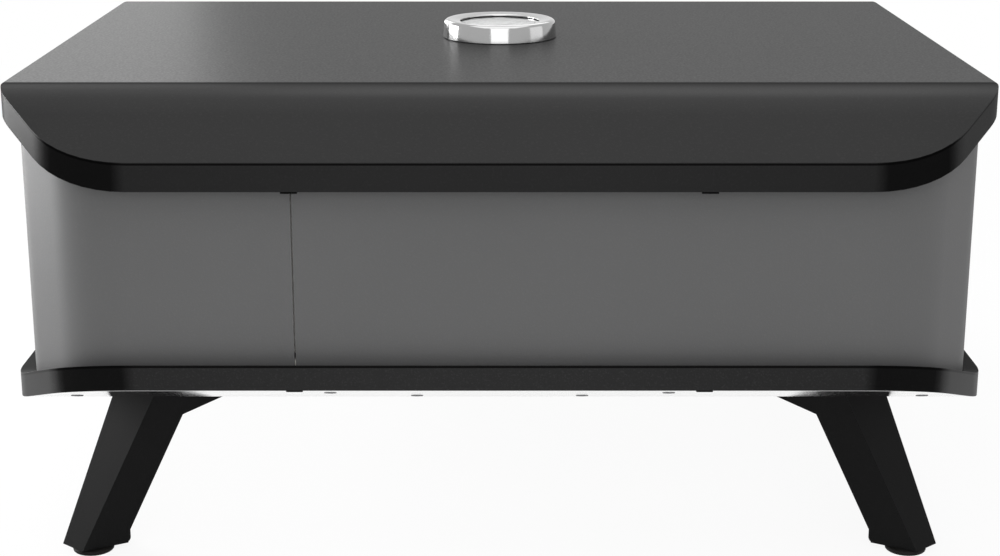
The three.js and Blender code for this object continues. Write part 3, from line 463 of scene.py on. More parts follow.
@dataclass(frozen=True)
class FoldedCoat(PowderCoat):
    """Powder paint of a folded cover, with painted shade and painted sheen by masks fixed to the
    sheet.

    The painted shade lines and the ledge are spans of the fold's level. The tabs are spans of the
    distances from the middle along x and y, and of the height. Faces are told apart by their
    normals.
    """

    fold: Fold = Fold()
    # Painted shade: the colour that the lip, the corners, the shade lines, the ledge and the tabs
    # are darkened towards.
    shade: Colour = (0.002, 0.002, 0.002)
    # Painted shade lines: spans of the fold's level darkened along the lid's fold and where the
    # wall meets the base.
    groove: Span = (0.0, 0.0)
    groove_depth: float = 0.85
    groove_upwards: float = 0.78
    ledge: Span | None = None
    ledge_reach: float = 0.27
    ledge_upwards: float = 0.6
    # Painted shade: the tabs are darkened near black, as if in shadow.
    tabs: tuple[Span, Span, Span] = ((0.11, 0.138), (0.26, 0.3), (0.0, 0.0))
    upright: Span = (-0.5, 0.5)
    corner_sideways: Span = (0.06, 0.67)
    # How far painted shade darkens the curved corners and the upright lip.
    corner_depth: float = 0.82
    lip_depth: float = 0.0
    flat: Span = (-0.209, 0.1945)
    bend: Span = (0.012, 0.035)
    sheet_upwards: float = 0.5
    end_sideways: float = 0.72
    # Painted sheen: the clear coat's weight on each zone of the sheet, set to stand in for the
    # lamps' reflection.
    top_sheen: float = 0.0
    bend_sheen: float = 0.0
    slope_sheen: float = 0.0
    end_sheen: float = 0.0
    sheen_grain: float = 0.8
    sharp_blur: float = 0.0002
    groove_blur: float = 0.0003
    flat_blur: float = 0.004
    bend_blur: float = 0.02
    ledge_blur: float = 0.02
    face_blur: float = 0.1
    turn_blur: float = 0.2

    def shaded(self, graph: Graph, body: Signal) -> Signal:
        """Paints shade into the colour: the upright lip, the curved corners, the shade lines and
        the tabs.

        Args:
            graph: The material's nodes.
            body: The coat's colour.

        Returns:
            The shaded colour.
        """
        upwards = graph.part(graph.facing(), "Z")
        sideways = graph.size_of(graph.part(graph.facing(), "X"))
        upright = graph.between(upwards, self.upright, self.turn_blur)
        corner = graph.between(sideways, self.corner_sideways, self.face_blur) * upright
        # Painted shade: the upright lip is darkened, and the curved corners more, where the lamps
        # leave a dark reflection.
        body = graph.mix(upright * self.lip_depth, body, self.shade)
        body = graph.mix(corner * self.corner_depth, body, self.shade)
        shade_mask = graph.greatest(self._grooves(graph, upwards) * self.groove_depth, self._tab(graph))
        return graph.mix(shade_mask, body, self.shade)

    def _grooves(self, graph: Graph, upwards: Signal) -> Signal:
        """Painted shade lines: the dark line under the lid's fold and the shadow where the wall
        stands on the base, with the base's ledge beside it in painted shadow.

        Args:
            graph: The material's nodes.
            upwards: How far the surface faces upwards.

        Returns:
            1 in the groove and on the ledge.
        """
        level = self.fold.level(graph, graph.place)
        # Painted shade: a thin band of the fold's level is darkened for the dark line at the lid's
        # fold and the shadow under the wall.
        dark = graph.between(level, self.groove, self.groove_blur)
        dark = dark * graph.below(upwards, self.groove_upwards, self.face_blur)
        if self.ledge is None:
            return dark
        # Painted shadow: the base's ledge beside the wall is darkened.
        across = graph.size_of(graph.part(graph.place, "X"))
        inside = graph.below(across, self.ledge_reach, self.ledge_blur)
        ledge_shade = graph.between(level, self.ledge, self.sharp_blur) * inside
        ledge_shade = ledge_shade * graph.above(upwards, self.ledge_upwards, self.face_blur)
        return graph.greatest(dark, ledge_shade)

    def _tab(self, graph: Graph) -> Signal:
        """Marks the tabs, which are darkened near black as painted shade.

        Args:
            graph: The material's nodes.

        Returns:
            1 on the tabs.
        """
        across, along = (graph.size_of(graph.part(graph.place, axis)) for axis in "XY")
        tab = graph.between(across, self.tabs[0], self.sharp_blur)
        tab = tab * graph.between(along, self.tabs[1], self.sharp_blur)
        return tab * graph.between(graph.height(), self.tabs[2], self.sharp_blur)

    def sheen(self, graph: Graph, grain: Signal) -> Signal:
        """Painted sheen: the clear coat's weight on the flat top, less on the bend and slope, and
        some on the ends of the rim.

        Args:
            graph: The material's nodes.
            grain: The coat's grain.

        Returns:
            The clear coat's weight.
        """
        # Painted sheen: masks fixed to the sheet set the clear coat's weight zone by zone.
        along = graph.part(graph.place, "Y")
        past = graph.size_of(along) - self.flat[1]
        flat = graph.between(along, self.flat, self.flat_blur) * self.top_sheen
        bend = graph.between(past, self.bend, self.bend_blur) * self.bend_sheen
        bend = bend + graph.above(past, self.bend[1], self.bend_blur) * self.slope_sheen
        sheet = graph.greatest(flat * graph.about(1.0, (grain, self.sheen_grain)), bend)
        sideways = graph.size_of(graph.part(graph.facing(), "X"))
        upwards = graph.part(graph.facing(), "Z")
        sheet = sheet * graph.above(upwards, self.sheet_upwards, self.turn_blur)
        return sheet + graph.above(sideways, self.end_sideways, self.face_blur) * self.end_sheen


@dataclass(frozen=True)
class RolledSteel(Finish):
    """Bare sheet with rolling streaks, and a heat tint round a hot spot where it has one."""

    colour: Colour
    roughness: float
    grain: Grain = Grain.ALONG_X
    depth: float = 0.00001
    cloud: float = 7.0
    cloud_tint: float = 0.9
    streak_share: float = 0.3
    streak_change: float = 0.22
    cloud_change: float = 0.08
    heat: Colour = (0.46, 0.30, 0.14)
    heat_least: float = 0.35
    hot_spot: Point = (0.0, 0.2, 0.2)
    hot_reach: float = 0.0

    def dress(self, graph: Graph) -> None:
        """Streaks in the roughness and relief, and clouds and heat in the colour.

        Args:
            graph: The material's nodes.
        """
        streak = graph.noise(cells=1.0, detail=2.0, place=graph.stretched(self.grain.value))
        cloud = graph.noise(self.cloud, detail=4.0)
        cover = graph.blend(cloud, streak, self.streak_share)
        body = graph.mix(cover, tinted(self.colour, self.cloud_tint), self.colour)
        if self.hot_reach:
            warm = graph.near(self.hot_spot, self.hot_reach) * (self.heat_least + cloud)
            body = graph.mix(warm, body, self.heat)
        graph.set(
            Base_Color=body,
            Metallic=1.0,
            Roughness=graph.about(
                self.roughness, (streak, self.streak_change), (cloud, self.cloud_change)
            ),
            Normal=graph.relief(streak, self.depth),
        )


@dataclass(frozen=True)
class PolishedMetal(Finish):
    """Plated or turned metal with faint smudges."""

    colour: Colour
    roughness: float
    stain: Colour
    stain_share: float = 0.2
    stain_span: Span = (0.45, 0.75)
    stain_change: float = 0.06
    smudge: float = 55.0
    grain: float = 1600.0
    grain_change: float = 0.02
    depth: float = 0.000002

    def dress(self, graph: Graph) -> None:
        """Smudges in the colour and roughness.

        Args:
            graph: The material's nodes.
        """
        patches = graph.rising(graph.noise(self.smudge, detail=4.0), self.stain_span)
        fine = graph.noise(self.grain, detail=1.0)
        graph.set(
            Base_Color=graph.mix(patches * self.stain_share, self.colour, self.stain),
            Metallic=1.0,
            Roughness=graph.about(
                self.roughness + patches * self.stain_change, (fine, self.grain_change)
            ),
            Normal=graph.relief(fine, self.depth),
        )


@dataclass(frozen=True)
class FiredStone(Finish):
    """Cordierite: cream body with pores and dark grains, browned where the flame reaches it."""

    colour: Colour
    grains: Colour
    scorch: Colour
    roughness: float = 0.9
    roughness_change: float = 0.12
    fine: float = 1100.0
    grain: float = 420.0
    grain_span: Span = (0.6, 0.68)
    grain_share: float = 0.45
    pore: float = 260.0
    pore_span: Span = (0.04, 0.16)
    pore_share: float = 0.6
    depth: float = 0.00025
    cloud: float = 14.0
    cloud_tint: float = 0.86
    hot_spot: Point = (0.0, 0.19, 0.17)
    hot_reach: float = 0.36
    scorch_span: Span = (0.4, 0.7)
    scorch_share: float = 0.6

    def dress(self, graph: Graph) -> None:
        """Grains, pores and scorched patches.

        Args:
            graph: The material's nodes.
        """
        fine = graph.noise(self.fine, detail=3.0)
        grains = graph.rising(graph.noise(self.grain, detail=2.0), self.grain_span)
        pores = graph.rising(graph.points(self.pore), self.pore_span)
        cloud = graph.noise(self.cloud, detail=5.0)
        body = graph.mix(cloud, tinted(self.colour, self.cloud_tint), self.colour)
        body = graph.mix(grains * self.grain_share, body, self.grains)
        warm = graph.near(self.hot_spot, self.hot_reach) * graph.rising(cloud, self.scorch_span)
        graph.set(
            Base_Color=graph.mix(warm * self.scorch_share, body, self.scorch),
            Roughness=graph.about(self.roughness, (fine, self.roughness_change)),
            Normal=graph.relief(graph.blend(fine, pores, self.pore_share), self.depth),
        )


@dataclass(frozen=True)
class MattedFibre(Finish):
    """Ceramic fibre: soft white felt with loose strands."""

    colour: Colour
    dark_tint: float = 0.84
    strands: Point = (120.0, 700.0, 260.0)
    tufts: float = 45.0
    tuft_share: float = 0.4
    relief_share: float = 0.5
    roughness: float = 0.95
    roughness_change: float = 0.08
    fuzz: float = 0.3
    depth: float = 0.0006

    def dress(self, graph: Graph) -> None:
        """Strands and tufts.

        Args:
            graph: The material's nodes.
        """
        strands = graph.noise(cells=1.0, detail=4.0, place=graph.stretched(self.strands))
        tufts = graph.noise(self.tufts, detail=4.0)
        cover = graph.blend(strands, tufts, self.tuft_share)
        graph.set(
            Base_Color=graph.mix(cover, tinted(self.colour, self.dark_tint), self.colour),
            Roughness=graph.about(self.roughness, (tufts, self.roughness_change)),
            Sheen_Weight=self.fuzz,
            Normal=graph.relief(graph.blend(strands, tufts, self.relief_share), self.depth),
        )


@dataclass(frozen=True)
class Moulded(Finish):
    """Moulded plastic or rubber with a spark-eroded grain, dusty near the floor."""

    colour: Colour
    roughness: float
    depth: float = 0.00004
    gloss: float = 0.4
    grain: float = 1500.0
    grain_change: float = 0.1
    wear: float = 70.0
    wear_tints: Pair = (0.85, 1.15)
    wear_change: float = 0.16
    dust: float = 0.0
    dust_height: float = 0.012
    dust_colour: Colour = (0.32, 0.3, 0.27)

    def dress(self, graph: Graph) -> None:
        """Grain in the relief, wear in the roughness and dust low down.

        Args:
            graph: The material's nodes.
        """
        grain = graph.noise(self.grain, detail=1.0)
        wear = graph.noise(self.wear, detail=5.0)
        body = graph.mix(wear, *(tinted(self.colour, tint) for tint in self.wear_tints))
        if self.dust:
            settled = 1.0 - graph.rising(graph.height() / self.dust_height, (0.0, 1.0))
            body = graph.mix(settled * wear * self.dust, body, self.dust_colour)
        graph.set(
            Base_Color=body,
            Roughness=graph.about(
                self.roughness, (wear, self.wear_change), (grain, self.grain_change)
            ),
            Specular_IOR_Level=self.gloss,
            Normal=graph.relief(grain, self.depth),
        )


@dataclass(frozen=True)
class Glazed(Finish):
    """Glazed ceramic: milky body under a clear glaze with small pits."""

    colour: Colour
    dark_tint: float = 0.9
    clouds: float = 140.0
    roughness: float = 0.3
    roughness_change: float = 0.15
    glaze: float = 0.6
    glaze_change: float = 0.4
    glaze_roughness: float = 0.08
    pits: float = 500.0
    pit_span: Span = (0.03, 0.1)
    depth: float = 0.00003

    def dress(self, graph: Graph) -> None:
        """Pits in the relief and a glaze that varies.

        Args:
            graph: The material's nodes.
        """
        body = graph.noise(self.clouds, detail=3.0)
        pits = graph.rising(graph.points(self.pits), self.pit_span)
        graph.set(
            Base_Color=graph.mix(body, tinted(self.colour, self.dark_tint), self.colour),
            Roughness=graph.about(self.roughness, (body, self.roughness_change)),
            Coat_Weight=graph.about(self.glaze, (body, self.glaze_change)),
            Coat_Roughness=self.glaze_roughness,
            Normal=graph.relief(pits, self.depth),
        )


@dataclass(frozen=True)
class ClearPane(Finish):
    """Flat clear glass with faint finger marks."""

    colour: Colour
    mark_tint: float = 0.94
    mark_share: float = 0.15
    marks: float = 38.0
    mark_span: Span = (0.5, 0.8)
    roughness: float = 0.015
    mark_change: float = 0.05
    ior: float = 1.5

    def dress(self, graph: Graph) -> None:
        """Clear body, its marks in the roughness.

        Args:
            graph: The material's nodes.
        """
        marks = graph.rising(graph.noise(self.marks, detail=5.0), self.mark_span)
        marked = tinted(self.colour, self.mark_tint)
        graph.set(
            Base_Color=graph.mix(marks * self.mark_share, self.colour, marked),
            Roughness=self.roughness + marks * self.mark_change,
            Transmission_Weight=1.0,
            IOR=self.ior,
        )


@dataclass(frozen=True)
class SpunDial(Finish):
    """Silver dial plate with rings from spinning."""

    colour: Colour
    centre: Point
    dark_tint: float = 0.86
    rings: float = 2600.0
    metallic: float = 0.4
    roughness: float = 0.42
    roughness_change: float = 0.2
    depth: float = 0.000004

    def dress(self, graph: Graph) -> None:
        """Rings about the centre.

        Args:
            graph: The material's nodes.
        """
        inputs = {"W": graph.distance(self.centre), "Scale": self.rings}
        rings = graph.node("ShaderNodeTexNoise", {"noise_dimensions": "1D"}, inputs, "Fac")
        graph.set(
            Base_Color=graph.mix(rings, tinted(self.colour, self.dark_tint), self.colour),
            Metallic=self.metallic,
            Roughness=graph.about(self.roughness, (rings, self.roughness_change)),
            Normal=graph.relief(rings, self.depth),
        )


@dataclass(frozen=True)
class Ink(Finish):
    """Screen print or baked enamel line."""

    colour: Colour
    dark_tint: float = 0.9
    cover: float = 900.0
    roughness: float = 0.5
    roughness_change: float = 0.2

    def dress(self, graph: Graph) -> None:
        """Slightly uneven cover.

        Args:
            graph: The material's nodes.
        """
        cover = graph.noise(self.cover, detail=2.0)
        graph.set(
            Base_Color=graph.mix(cover, tinted(self.colour, self.dark_tint), self.colour),
            Roughness=graph.about(self.roughness, (cover, self.roughness_change)),
        )


class Palette:
    """Builds each finish once and hands out its material."""

    black_paint = PowderCoat("black powder coat", (0.019, 0.019, 0.0192), 0.45, 0.05)
    # The lid and base coats carry painted shade at the lip, corners, fold lines, ledge and tabs,
    # and painted sheen in the clear coat's weight.
    lid_paint = FoldedCoat(
        "black lid coat",
        (0.029, 0.029, 0.0292),
        roughness=0.42,
        gloss=0.0,
        fleck=0.12,
        grain=650.0,
        depth=0.00007,
        fold=LID_FOLD,
        groove=(0.3063, 0.3075),
        tabs=((0.11, 0.138), (0.26, 0.3), (0.25, 0.2578)),
        lip_depth=0.24,
        top_sheen=0.31,
        bend_sheen=0.22,
        slope_sheen=0.11,
        end_sheen=0.155,
    )
    base_paint = FoldedCoat(
        "black base coat",
        (0.0265, 0.0265, 0.0267),
        roughness=0.42,
        gloss=0.004,
        fold=BASE_FOLD,
        groove=(0.1208, 0.1222),
        ledge=(0.1222, 0.1322),
        tabs=((0.11, 0.138), (0.26, 0.3), (0.13, 0.1349)),
        end_sheen=0.38,
    )
    leg_paint = PowderCoat("black leg coat", (0.0105, 0.0105, 0.0106), 0.45, 0.02, fleck=0.1)
    grey_paint = PowderCoat("graphite powder coat", (0.121, 0.121, 0.122), 0.5, 0.1, fleck=0.04)
    bright_sheet = RolledSteel("bright rolled sheet", (0.90, 0.90, 0.90), 0.14, depth=0.000004)
    frame_sheet = RolledSteel("brushed mouth frame", (0.5, 0.497, 0.488), 0.32)
    chamber_sheet = RolledSteel(
        "heat tinted sheet", (0.60, 0.59, 0.57), 0.34, Grain.ALONG_Y, hot_reach=0.34
    )
    burner_sheet = RolledSteel(
        "heat tinted burner", (0.55, 0.53, 0.50), 0.32, heat=(0.30, 0.22, 0.26), hot_reach=0.2
    )
    plain_steel = RolledSteel("plain steel", (0.38, 0.37, 0.36), 0.42, depth=0.00002)
    turned_steel = RolledSteel("turned steel", (0.62, 0.62, 0.61), 0.25, Grain.ALONG_Z)
    black_zinc = PolishedMetal("black zinc plate", (0.10, 0.10, 0.105), 0.34, (0.05, 0.05, 0.05))
    chrome = PolishedMetal("chrome plate", (0.37, 0.37, 0.37), 0.1, (0.30, 0.30, 0.30))
    brass = PolishedMetal("turned brass", (0.5, 0.355, 0.15), 0.3, (0.27, 0.165, 0.07), 0.45)
    cordierite = FiredStone(
        "cordierite", (0.60, 0.52, 0.385), grains=(0.17, 0.12, 0.08), scorch=(0.2, 0.12, 0.06)
    )
    fibre = MattedFibre("ceramic fibre", (0.83, 0.81, 0.76))
    rubber = Moulded("black rubber", (0.004, 0.004, 0.0041), 0.6, gloss=0.08, dust=0.06)
    plastic = Moulded("black moulded plastic", (0.014, 0.014, 0.0145), 0.42, gloss=0.15)
    red_plastic = Moulded("red moulded plastic", (0.24, 0.008, 0.006), 0.42, gloss=0.15)
    ceramic = Glazed("glazed ceramic", (0.84, 0.81, 0.72))
    glass = ClearPane("clear glass", (0.97, 0.98, 0.98))
    dial = SpunDial("spun dial", (0.36, 0.36, 0.355), centre=(0.0, -0.004, 0.3145))
    black_ink = Ink("black print", (0.012, 0.012, 0.012))
    white_ink = Ink("white print", (0.55, 0.55, 0.54))

    def __init__(self) -> None:
        """Starts with no material built."""
        self._built: dict[Finish, bpy.types.Material] = {}

    def of(self, finish: Finish) -> bpy.types.Material:
        """Builds a finish the first time that it is asked for.

        Args:
            finish: The finish.

        Returns:
            Its material.
        """
        if finish not in self._built:
            self._built[finish] = finish.material()
        return self._built[finish]


@dataclass(frozen=True)
class SoftEdges:
    """Rounds a node's edges by modifiers: a small break everywhere and a radius at its folds.

    The folds are the edges above a level, where a fold radius is given.
    """

    width: float = 0.0003
    angle: float = 28.0
    fold_radius: float = 0.0
    fold_above: float = 0.0
    fold: Fold = Fold()
    segments: int = 2
    fold_segments: int = 3
    weld: float = 1e-6

    def apply(self, thing: bpy.types.Object) -> None:
        """Adds the modifiers.

        Args:
            thing: The object whose edges are softened.
        """
        modifier = thing.modifiers.new("soft edges", "NODES")
        modifier.node_group = self._group(thing.name)
        bevel = thing.modifiers.new("edge radius", "BEVEL")
        bevel.limit_method = "WEIGHT"
        bevel.width = max(self.width, self.fold_radius)
        bevel.segments = self.fold_segments if self.fold_radius else self.segments
        bevel.harden_normals = True

    def _group(self, name: str) -> bpy.types.NodeTree:
        """Makes the group that joins vertices, smooths round forms and weights sharp edges.

        Args:
            name: The object's name.

        Returns:
            The node group.
        """
        tree = bpy.data.node_groups.new(f"soft edges {name}", "GeometryNodeTree")
        for way in ("INPUT", "OUTPUT"):
            tree.interface.new_socket("Geometry", in_out=way, socket_type="NodeSocketGeometry")
        nodes = Nodes(tree)
        turn = nodes.node("GeometryNodeInputMeshEdgeAngle", output="Unsigned Angle")
        sharp = nodes.math("GREATER_THAN", turn, math.radians(self.angle))
        mesh = nodes.node("NodeGroupInput")
        weld = {0: mesh, "Distance": self.weld}
        mesh = nodes.node("GeometryNodeMergeByDistance", {}, weld)
        mesh = nodes.node("GeometryNodeRemoveAttribute", {}, {0: mesh, "Name": "custom_normal"})
        for domain, inputs in (
            ("FACE", {"Shade Smooth": True}),
            ("EDGE", {"Selection": sharp, "Shade Smooth": False}),
        ):
            mesh = nodes.node("GeometryNodeSetShadeSmooth", {"domain": domain}, {0: mesh, **inputs})
        mesh = nodes.node(
            "GeometryNodeStoreNamedAttribute",
            {"data_type": "FLOAT", "domain": "EDGE"},
            {0: mesh, "Name": "bevel_weight_edge", "Value": self._weight(nodes, sharp)},
        )
        nodes.node("NodeGroupOutput", {}, {0: mesh})
        return tree

    def _weight(self, nodes: Nodes, sharp: Signal) -> Signal:
        """The bevel weight of each edge, 1 at the folds where there are any.

        Args:
            nodes: The group's nodes.
            sharp: 1 at sharp edges.

        Returns:
            The weight.
        """
        if not self.fold_radius:
            return sharp
        level = self.fold.level(nodes, nodes.node("GeometryNodeInputPosition"))
        share = self.width / self.fold_radius
        high = nodes.math("GREATER_THAN", level, self.fold_above)
        return (high * (1.0 - share) + share) * sharp


def add_object(name: str, data: bpy.types.ID) -> bpy.types.Object:
    """Adds an object to the scene.

    Args:
        name: The object's name.
        data: Its mesh, light or camera.

    Returns:
        The object.
    """
    thing = bpy.data.objects.new(name, data)
    bpy.context.scene.collection.objects.link(thing)
    return thing


def mesh_of(name: str, shape: Shape) -> bpy.types.Mesh:
    """Makes a mesh of a shape, which is freed.

    Args:
        name: The mesh's name.
        shape: The shape.

    Returns:
        The mesh.
    """
    mesh = bpy.data.meshes.new(name)
    shape.to_mesh(mesh)
    shape.free()
    return mesh


def loft(shape: Shape, rings: list[list[bmesh.types.BMVert]]) -> None:
    """Joins closed rings of vertices by faces.

    Args:
        shape: The shape that the vertices belong to.
        rings: The rings in order. A ring of one vertex is a tip.
    """
    steps = max(len(ring) for ring in rings)
    for lower, upper in zip(rings, rings[1:]):
        for k in range(steps):
            corners = [lower[k % len(lower)], lower[(k + 1) % len(lower)]]
            corners += [upper[(k + 1) % len(upper)], upper[k % len(upper)]]
            unique = list(dict.fromkeys(corners))
            if len(unique) > 2:
                shape.faces.new(unique)


def turned(profile: list[Pair], steps: int) -> Shape:
    """A solid turned about the z axis.

    Args:
        profile: (radius, height) pairs from the axis to the axis.
        steps: Facets round the axis.

    Returns:
        The shape.
    """
    shape = bmesh.new()
    turns = [2 * math.pi * k / steps for k in range(steps)]
    rings = []
    for radius, height in profile:
        places = [(radius * math.cos(turn), radius * math.sin(turn), height) for turn in turns]
        rings.append([shape.verts.new(place) for place in (places if radius else places[:1])])
    loft(shape, rings)
    return shape


def plate(outline: list[Pair], low: float, high: float) -> Shape:
    """A flat plate.

    Args:
        outline: Its corners in x and y.
        low: The height of its lower face.
        high: The height of its upper face.

    Returns:
        The shape.
    """
    shape = bmesh.new()
    rings = [[shape.verts.new((x, y, height)) for x, y in outline] for height in (low, high)]
    shape.faces.new(list(reversed(rings[0])))
    shape.faces.new(rings[1])
    loft(shape, rings)
    return shape


def tick(inner: float, outer: float, half: float, depth: float, turn: float) -> Shape:
    """A printed mark that points at the z axis, on the plane of x and y.

    Args:
        inner: The radius where it starts.
        outer: The radius where it ends.
        half: Half its width.
        depth: How far it stands out at each side of the plane.
        turn: Its turn about the axis, in radians.

    Returns:
        The shape.
    """
    shape = plate([(inner, -half), (outer, -half), (outer, half), (inner, half)], -depth, depth)
    bmesh.ops.transform(shape, matrix=Matrix.Rotation(turn, 4, "Z"), verts=shape.verts)
    return shape


def placed(shape: Shape, centre: Vector, normal: Vector) -> Shape:
    """Turns a shape's z axis to a normal and moves its origin to a point.

    Args:
        shape: The shape, which is changed.
        centre: The point.
        normal: The direction.

    Returns:
        The same shape.
    """
    turn = Vector((0, 0, 1)).rotation_difference(normal).to_matrix().to_4x4()
    bmesh.ops.transform(shape, matrix=Matrix.Translation(centre) @ turn, verts=shape.verts)
    return shape


def merged(shapes: list[Shape]) -> Shape:
    """Makes one shape of several, which are freed.

    Args:
        shapes: The several.

    Returns:
        The whole.
    """
    whole = bmesh.new()
    for shape in shapes:
        mesh = mesh_of("part of a piece", shape)
        whole.from_mesh(mesh)
        bpy.data.meshes.remove(mesh)
    return whole


@dataclass(frozen=True)
class FastenerHead:
    """The head of a screw or rivet, its seat at the origin.

    The outline holds shares of the radius and height, from the axis to the axis.
    """

    radius: float
    height: float
    outline: Pairs
    steps: int

    def shape(self) -> Shape:
        """The head's shape."""
        return turned([(r * self.radius, h * self.height) for r, h in self.outline], self.steps)


class Bench:
    """Gives CAD nodes their finish and makes the small pieces that the CAD leaves out."""

    def __init__(self, palette: Palette) -> None:
        """Keeps the palette.

        Args:
            palette: The finishes.
        """
        self.palette = palette

    def dress(self, node: str, finish: Finish, edges: SoftEdges = SoftEdges()) -> None:
        """Gives a CAD node its finish.

        Args:
            node: The node's name.
            finish: Its finish.
            edges: How its edges are softened.
        """
        thing = frame["nodes"][node]
        for slot in thing.material_slots:
            slot.link = "OBJECT"
            slot.material = self.palette.of(finish)
        edges.apply(thing)
        LOG.info("%s: %s", node, finish.name)

    def piece(
        self, name: str, shape: Shape, finish: Finish, body: str, slot: str, smooth: float = 30.0
    ) -> None:
        """Turns a shape into a piece that rides on a body.

        Args:
            name: The piece's name.
            shape: Its mesh, in metres in the row frame. It is freed here.
            finish: Its finish.
            body: The CAD body that it rides on.
            slot: The record's material slot. Not used.
            smooth: The angle above which an edge stays sharp, in degrees.
        """
        bmesh.ops.recalc_face_normals(shape, faces=shape.faces)
        sharp = math.radians(smooth)
        for edge in shape.edges:
            edge.smooth = len(edge.link_faces) != 2 or edge.calc_face_angle() < sharp
        for face in shape.faces:
            face.smooth = True
        mesh = mesh_of(name, shape)
        mesh.materials.append(self.palette.of(finish))
        thing = add_object(name, mesh)
        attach(thing, body)
        LOG.info("%s: %s, riding on %s", name, finish.name, body)


@dataclass
class Shell:
    """Lid, base, bottom plate and outer walls, with the screws of the bottom plate."""

    bench: Bench
    edge: float = 0.0004
    lid_radius: float = 0.0022
    lid_lip: float = 0.008
    base_radius: float = 0.0018
    base_lip: float = 0.012
    screw: FastenerHead = FastenerHead(
        radius=0.0039,
        height=0.0004,
        outline=(
            (0, -1), (0.5, -1), (0.5, 0), (1, 0), (1, 0.5),
            (0.93, 0.9), (0.8, 1), (0.45, 1), (0.4, -0.5), (0, -0.5),
        ),
        steps=20,
    )
    screw_places: Pairs = ((0.2673, 0.2325), (0.1042, 0.2620), (0.0522, 0.2325))

    def build(self) -> None:
        """Dresses the sheets and adds the screws."""
        lid_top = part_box("lid_shell")[1].z
        base_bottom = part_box("base_pan")[0].z
        lid_edges = SoftEdges(
            self.edge,
            fold_radius=self.lid_radius,
            fold_above=lid_top - self.lid_lip,
            fold=LID_FOLD,
        )
        base_edges = SoftEdges(
            self.edge,
            fold_radius=self.base_radius,
            fold_above=base_bottom + self.base_lip,
            fold=BASE_FOLD,
        )
        self.bench.dress("lid_shell", Palette.lid_paint, lid_edges)
        self.bench.dress("base_pan", Palette.base_paint, base_edges)
        self.bench.dress("bottom_plate", Palette.bright_sheet)
        for wall in ("rear_wall", "service_panel", "front_panel"):
            self.bench.dress(wall, Palette.grey_paint)
        self._screws(base_bottom)

    def _screws(self, bottom: float) -> None:
        """Adds the round-recessed screws of the strips that rise at the front and rear.

        Args:
            bottom: The height of the base's flat underside.
        """
        rise = -BASE_FOLD.fall
        heads = []
        for side in (1, -1):
            for end in (1, -1):
                for x, y in self.screw_places:
                    height = bottom + (y - BASE_FOLD.bend_y) * rise
                    normal = Vector((0, end * rise, -1)).normalized()
                    place = Vector((side * x, end * y, height))
                    heads.append(placed(self.screw.shape(), place, normal))
        shape = merged(heads)
        self.bench.piece("bottom_plate_screws", shape, Palette.black_zinc, "body", "stainless")


@dataclass
class Hearth:
    """Mouth, cooking floor, stone and chamber."""

    bench: Bench
    stone_edge: float = 0.0008
    fibre_edge: float = 0.002

    def build(self) -> None:
        """Dresses the pieces round the fire."""
        dress = self.bench.dress
        for channel in ("mouth_sill", "mouth_header", "mouth_jamb_left", "mouth_jamb_right"):
            dress(channel, Palette.frame_sheet)
        dress("stone_tray", Palette.plain_steel)
        dress("pizza_stone", Palette.cordierite, SoftEdges(self.stone_edge))
        for lining in ("floor_insulation", "insulation_blanket"):
            dress(lining, Palette.fibre, SoftEdges(self.fibre_edge))
        for side in ("side_left", "side_right", "rear", "roof"):
            dress(f"chamber_{side}", Palette.chamber_sheet)
        dress("flame_guard", Palette.chamber_sheet)


@dataclass
class GasTrain:
    """Burner, valve, inlet and the igniter's wiring, with the inlet's thread."""

    bench: Bench
    thread_radius: float = 0.0069
    thread_root: float = 0.0003
    thread_depth: float = 0.0005
    thread_pitch: float = 0.0014
    thread_flank: float = 0.4
    thread_span: Span = (0.3058, 0.3146)
    thread_steps: int = 24
    thread_sharp: float = 80.0

    def build(self) -> None:
        """Dresses the pieces and adds the thread."""
        dress = self.bench.dress
        for piece in ("burner_tube", "burner_bracket_left", "burner_bracket_right"):
            dress(piece, Palette.burner_sheet)
        for piece in ("gas_valve", "gas_jet", "gas_inlet", "gas_pipe"):
            dress(piece, Palette.brass)
        for piece in ("air_shutter", "valve_stem", "igniter_electrode"):
            dress(piece, Palette.plain_steel)
        dress("electrode_insulator", Palette.ceramic)
        dress("igniter_lead", Palette.rubber)
        self._thread()

    def _thread(self) -> None:
        """Adds the ridge that winds round the inlet's free end and fades at both ends."""
        low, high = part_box("gas_inlet")
        centre = (low + high) / 2
        start, end = self.thread_span
        steps = int((end - start) / self.thread_pitch * self.thread_steps)
        root = self.thread_radius - self.thread_root
        half = self.thread_pitch * self.thread_flank
        fade_steps = self.thread_steps / 2
        shape = bmesh.new()
        rings = []
        for step in range(steps + 1):
            turn = 2 * math.pi * step / self.thread_steps
            x = start + self.thread_pitch * step / self.thread_steps
            fade = min(1.0, step / fade_steps, (steps - step) / fade_steps)
            crest = self.thread_radius + self.thread_depth * fade
            ring = []
            for radius, along in ((root, -half), (crest, 0.0), (root, half)):
                y = centre.y + radius * math.cos(turn)
                z = centre.z + radius * math.sin(turn)
                ring.append(shape.verts.new((x + along, y, z)))
            rings.append(ring)
        loft(shape, rings)
        shape.faces.new(rings[0])
        shape.faces.new(list(reversed(rings[-1])))
        self.bench.piece(
            "gas_inlet_thread", shape, Palette.brass, "body", "brass", self.thread_sharp
        )


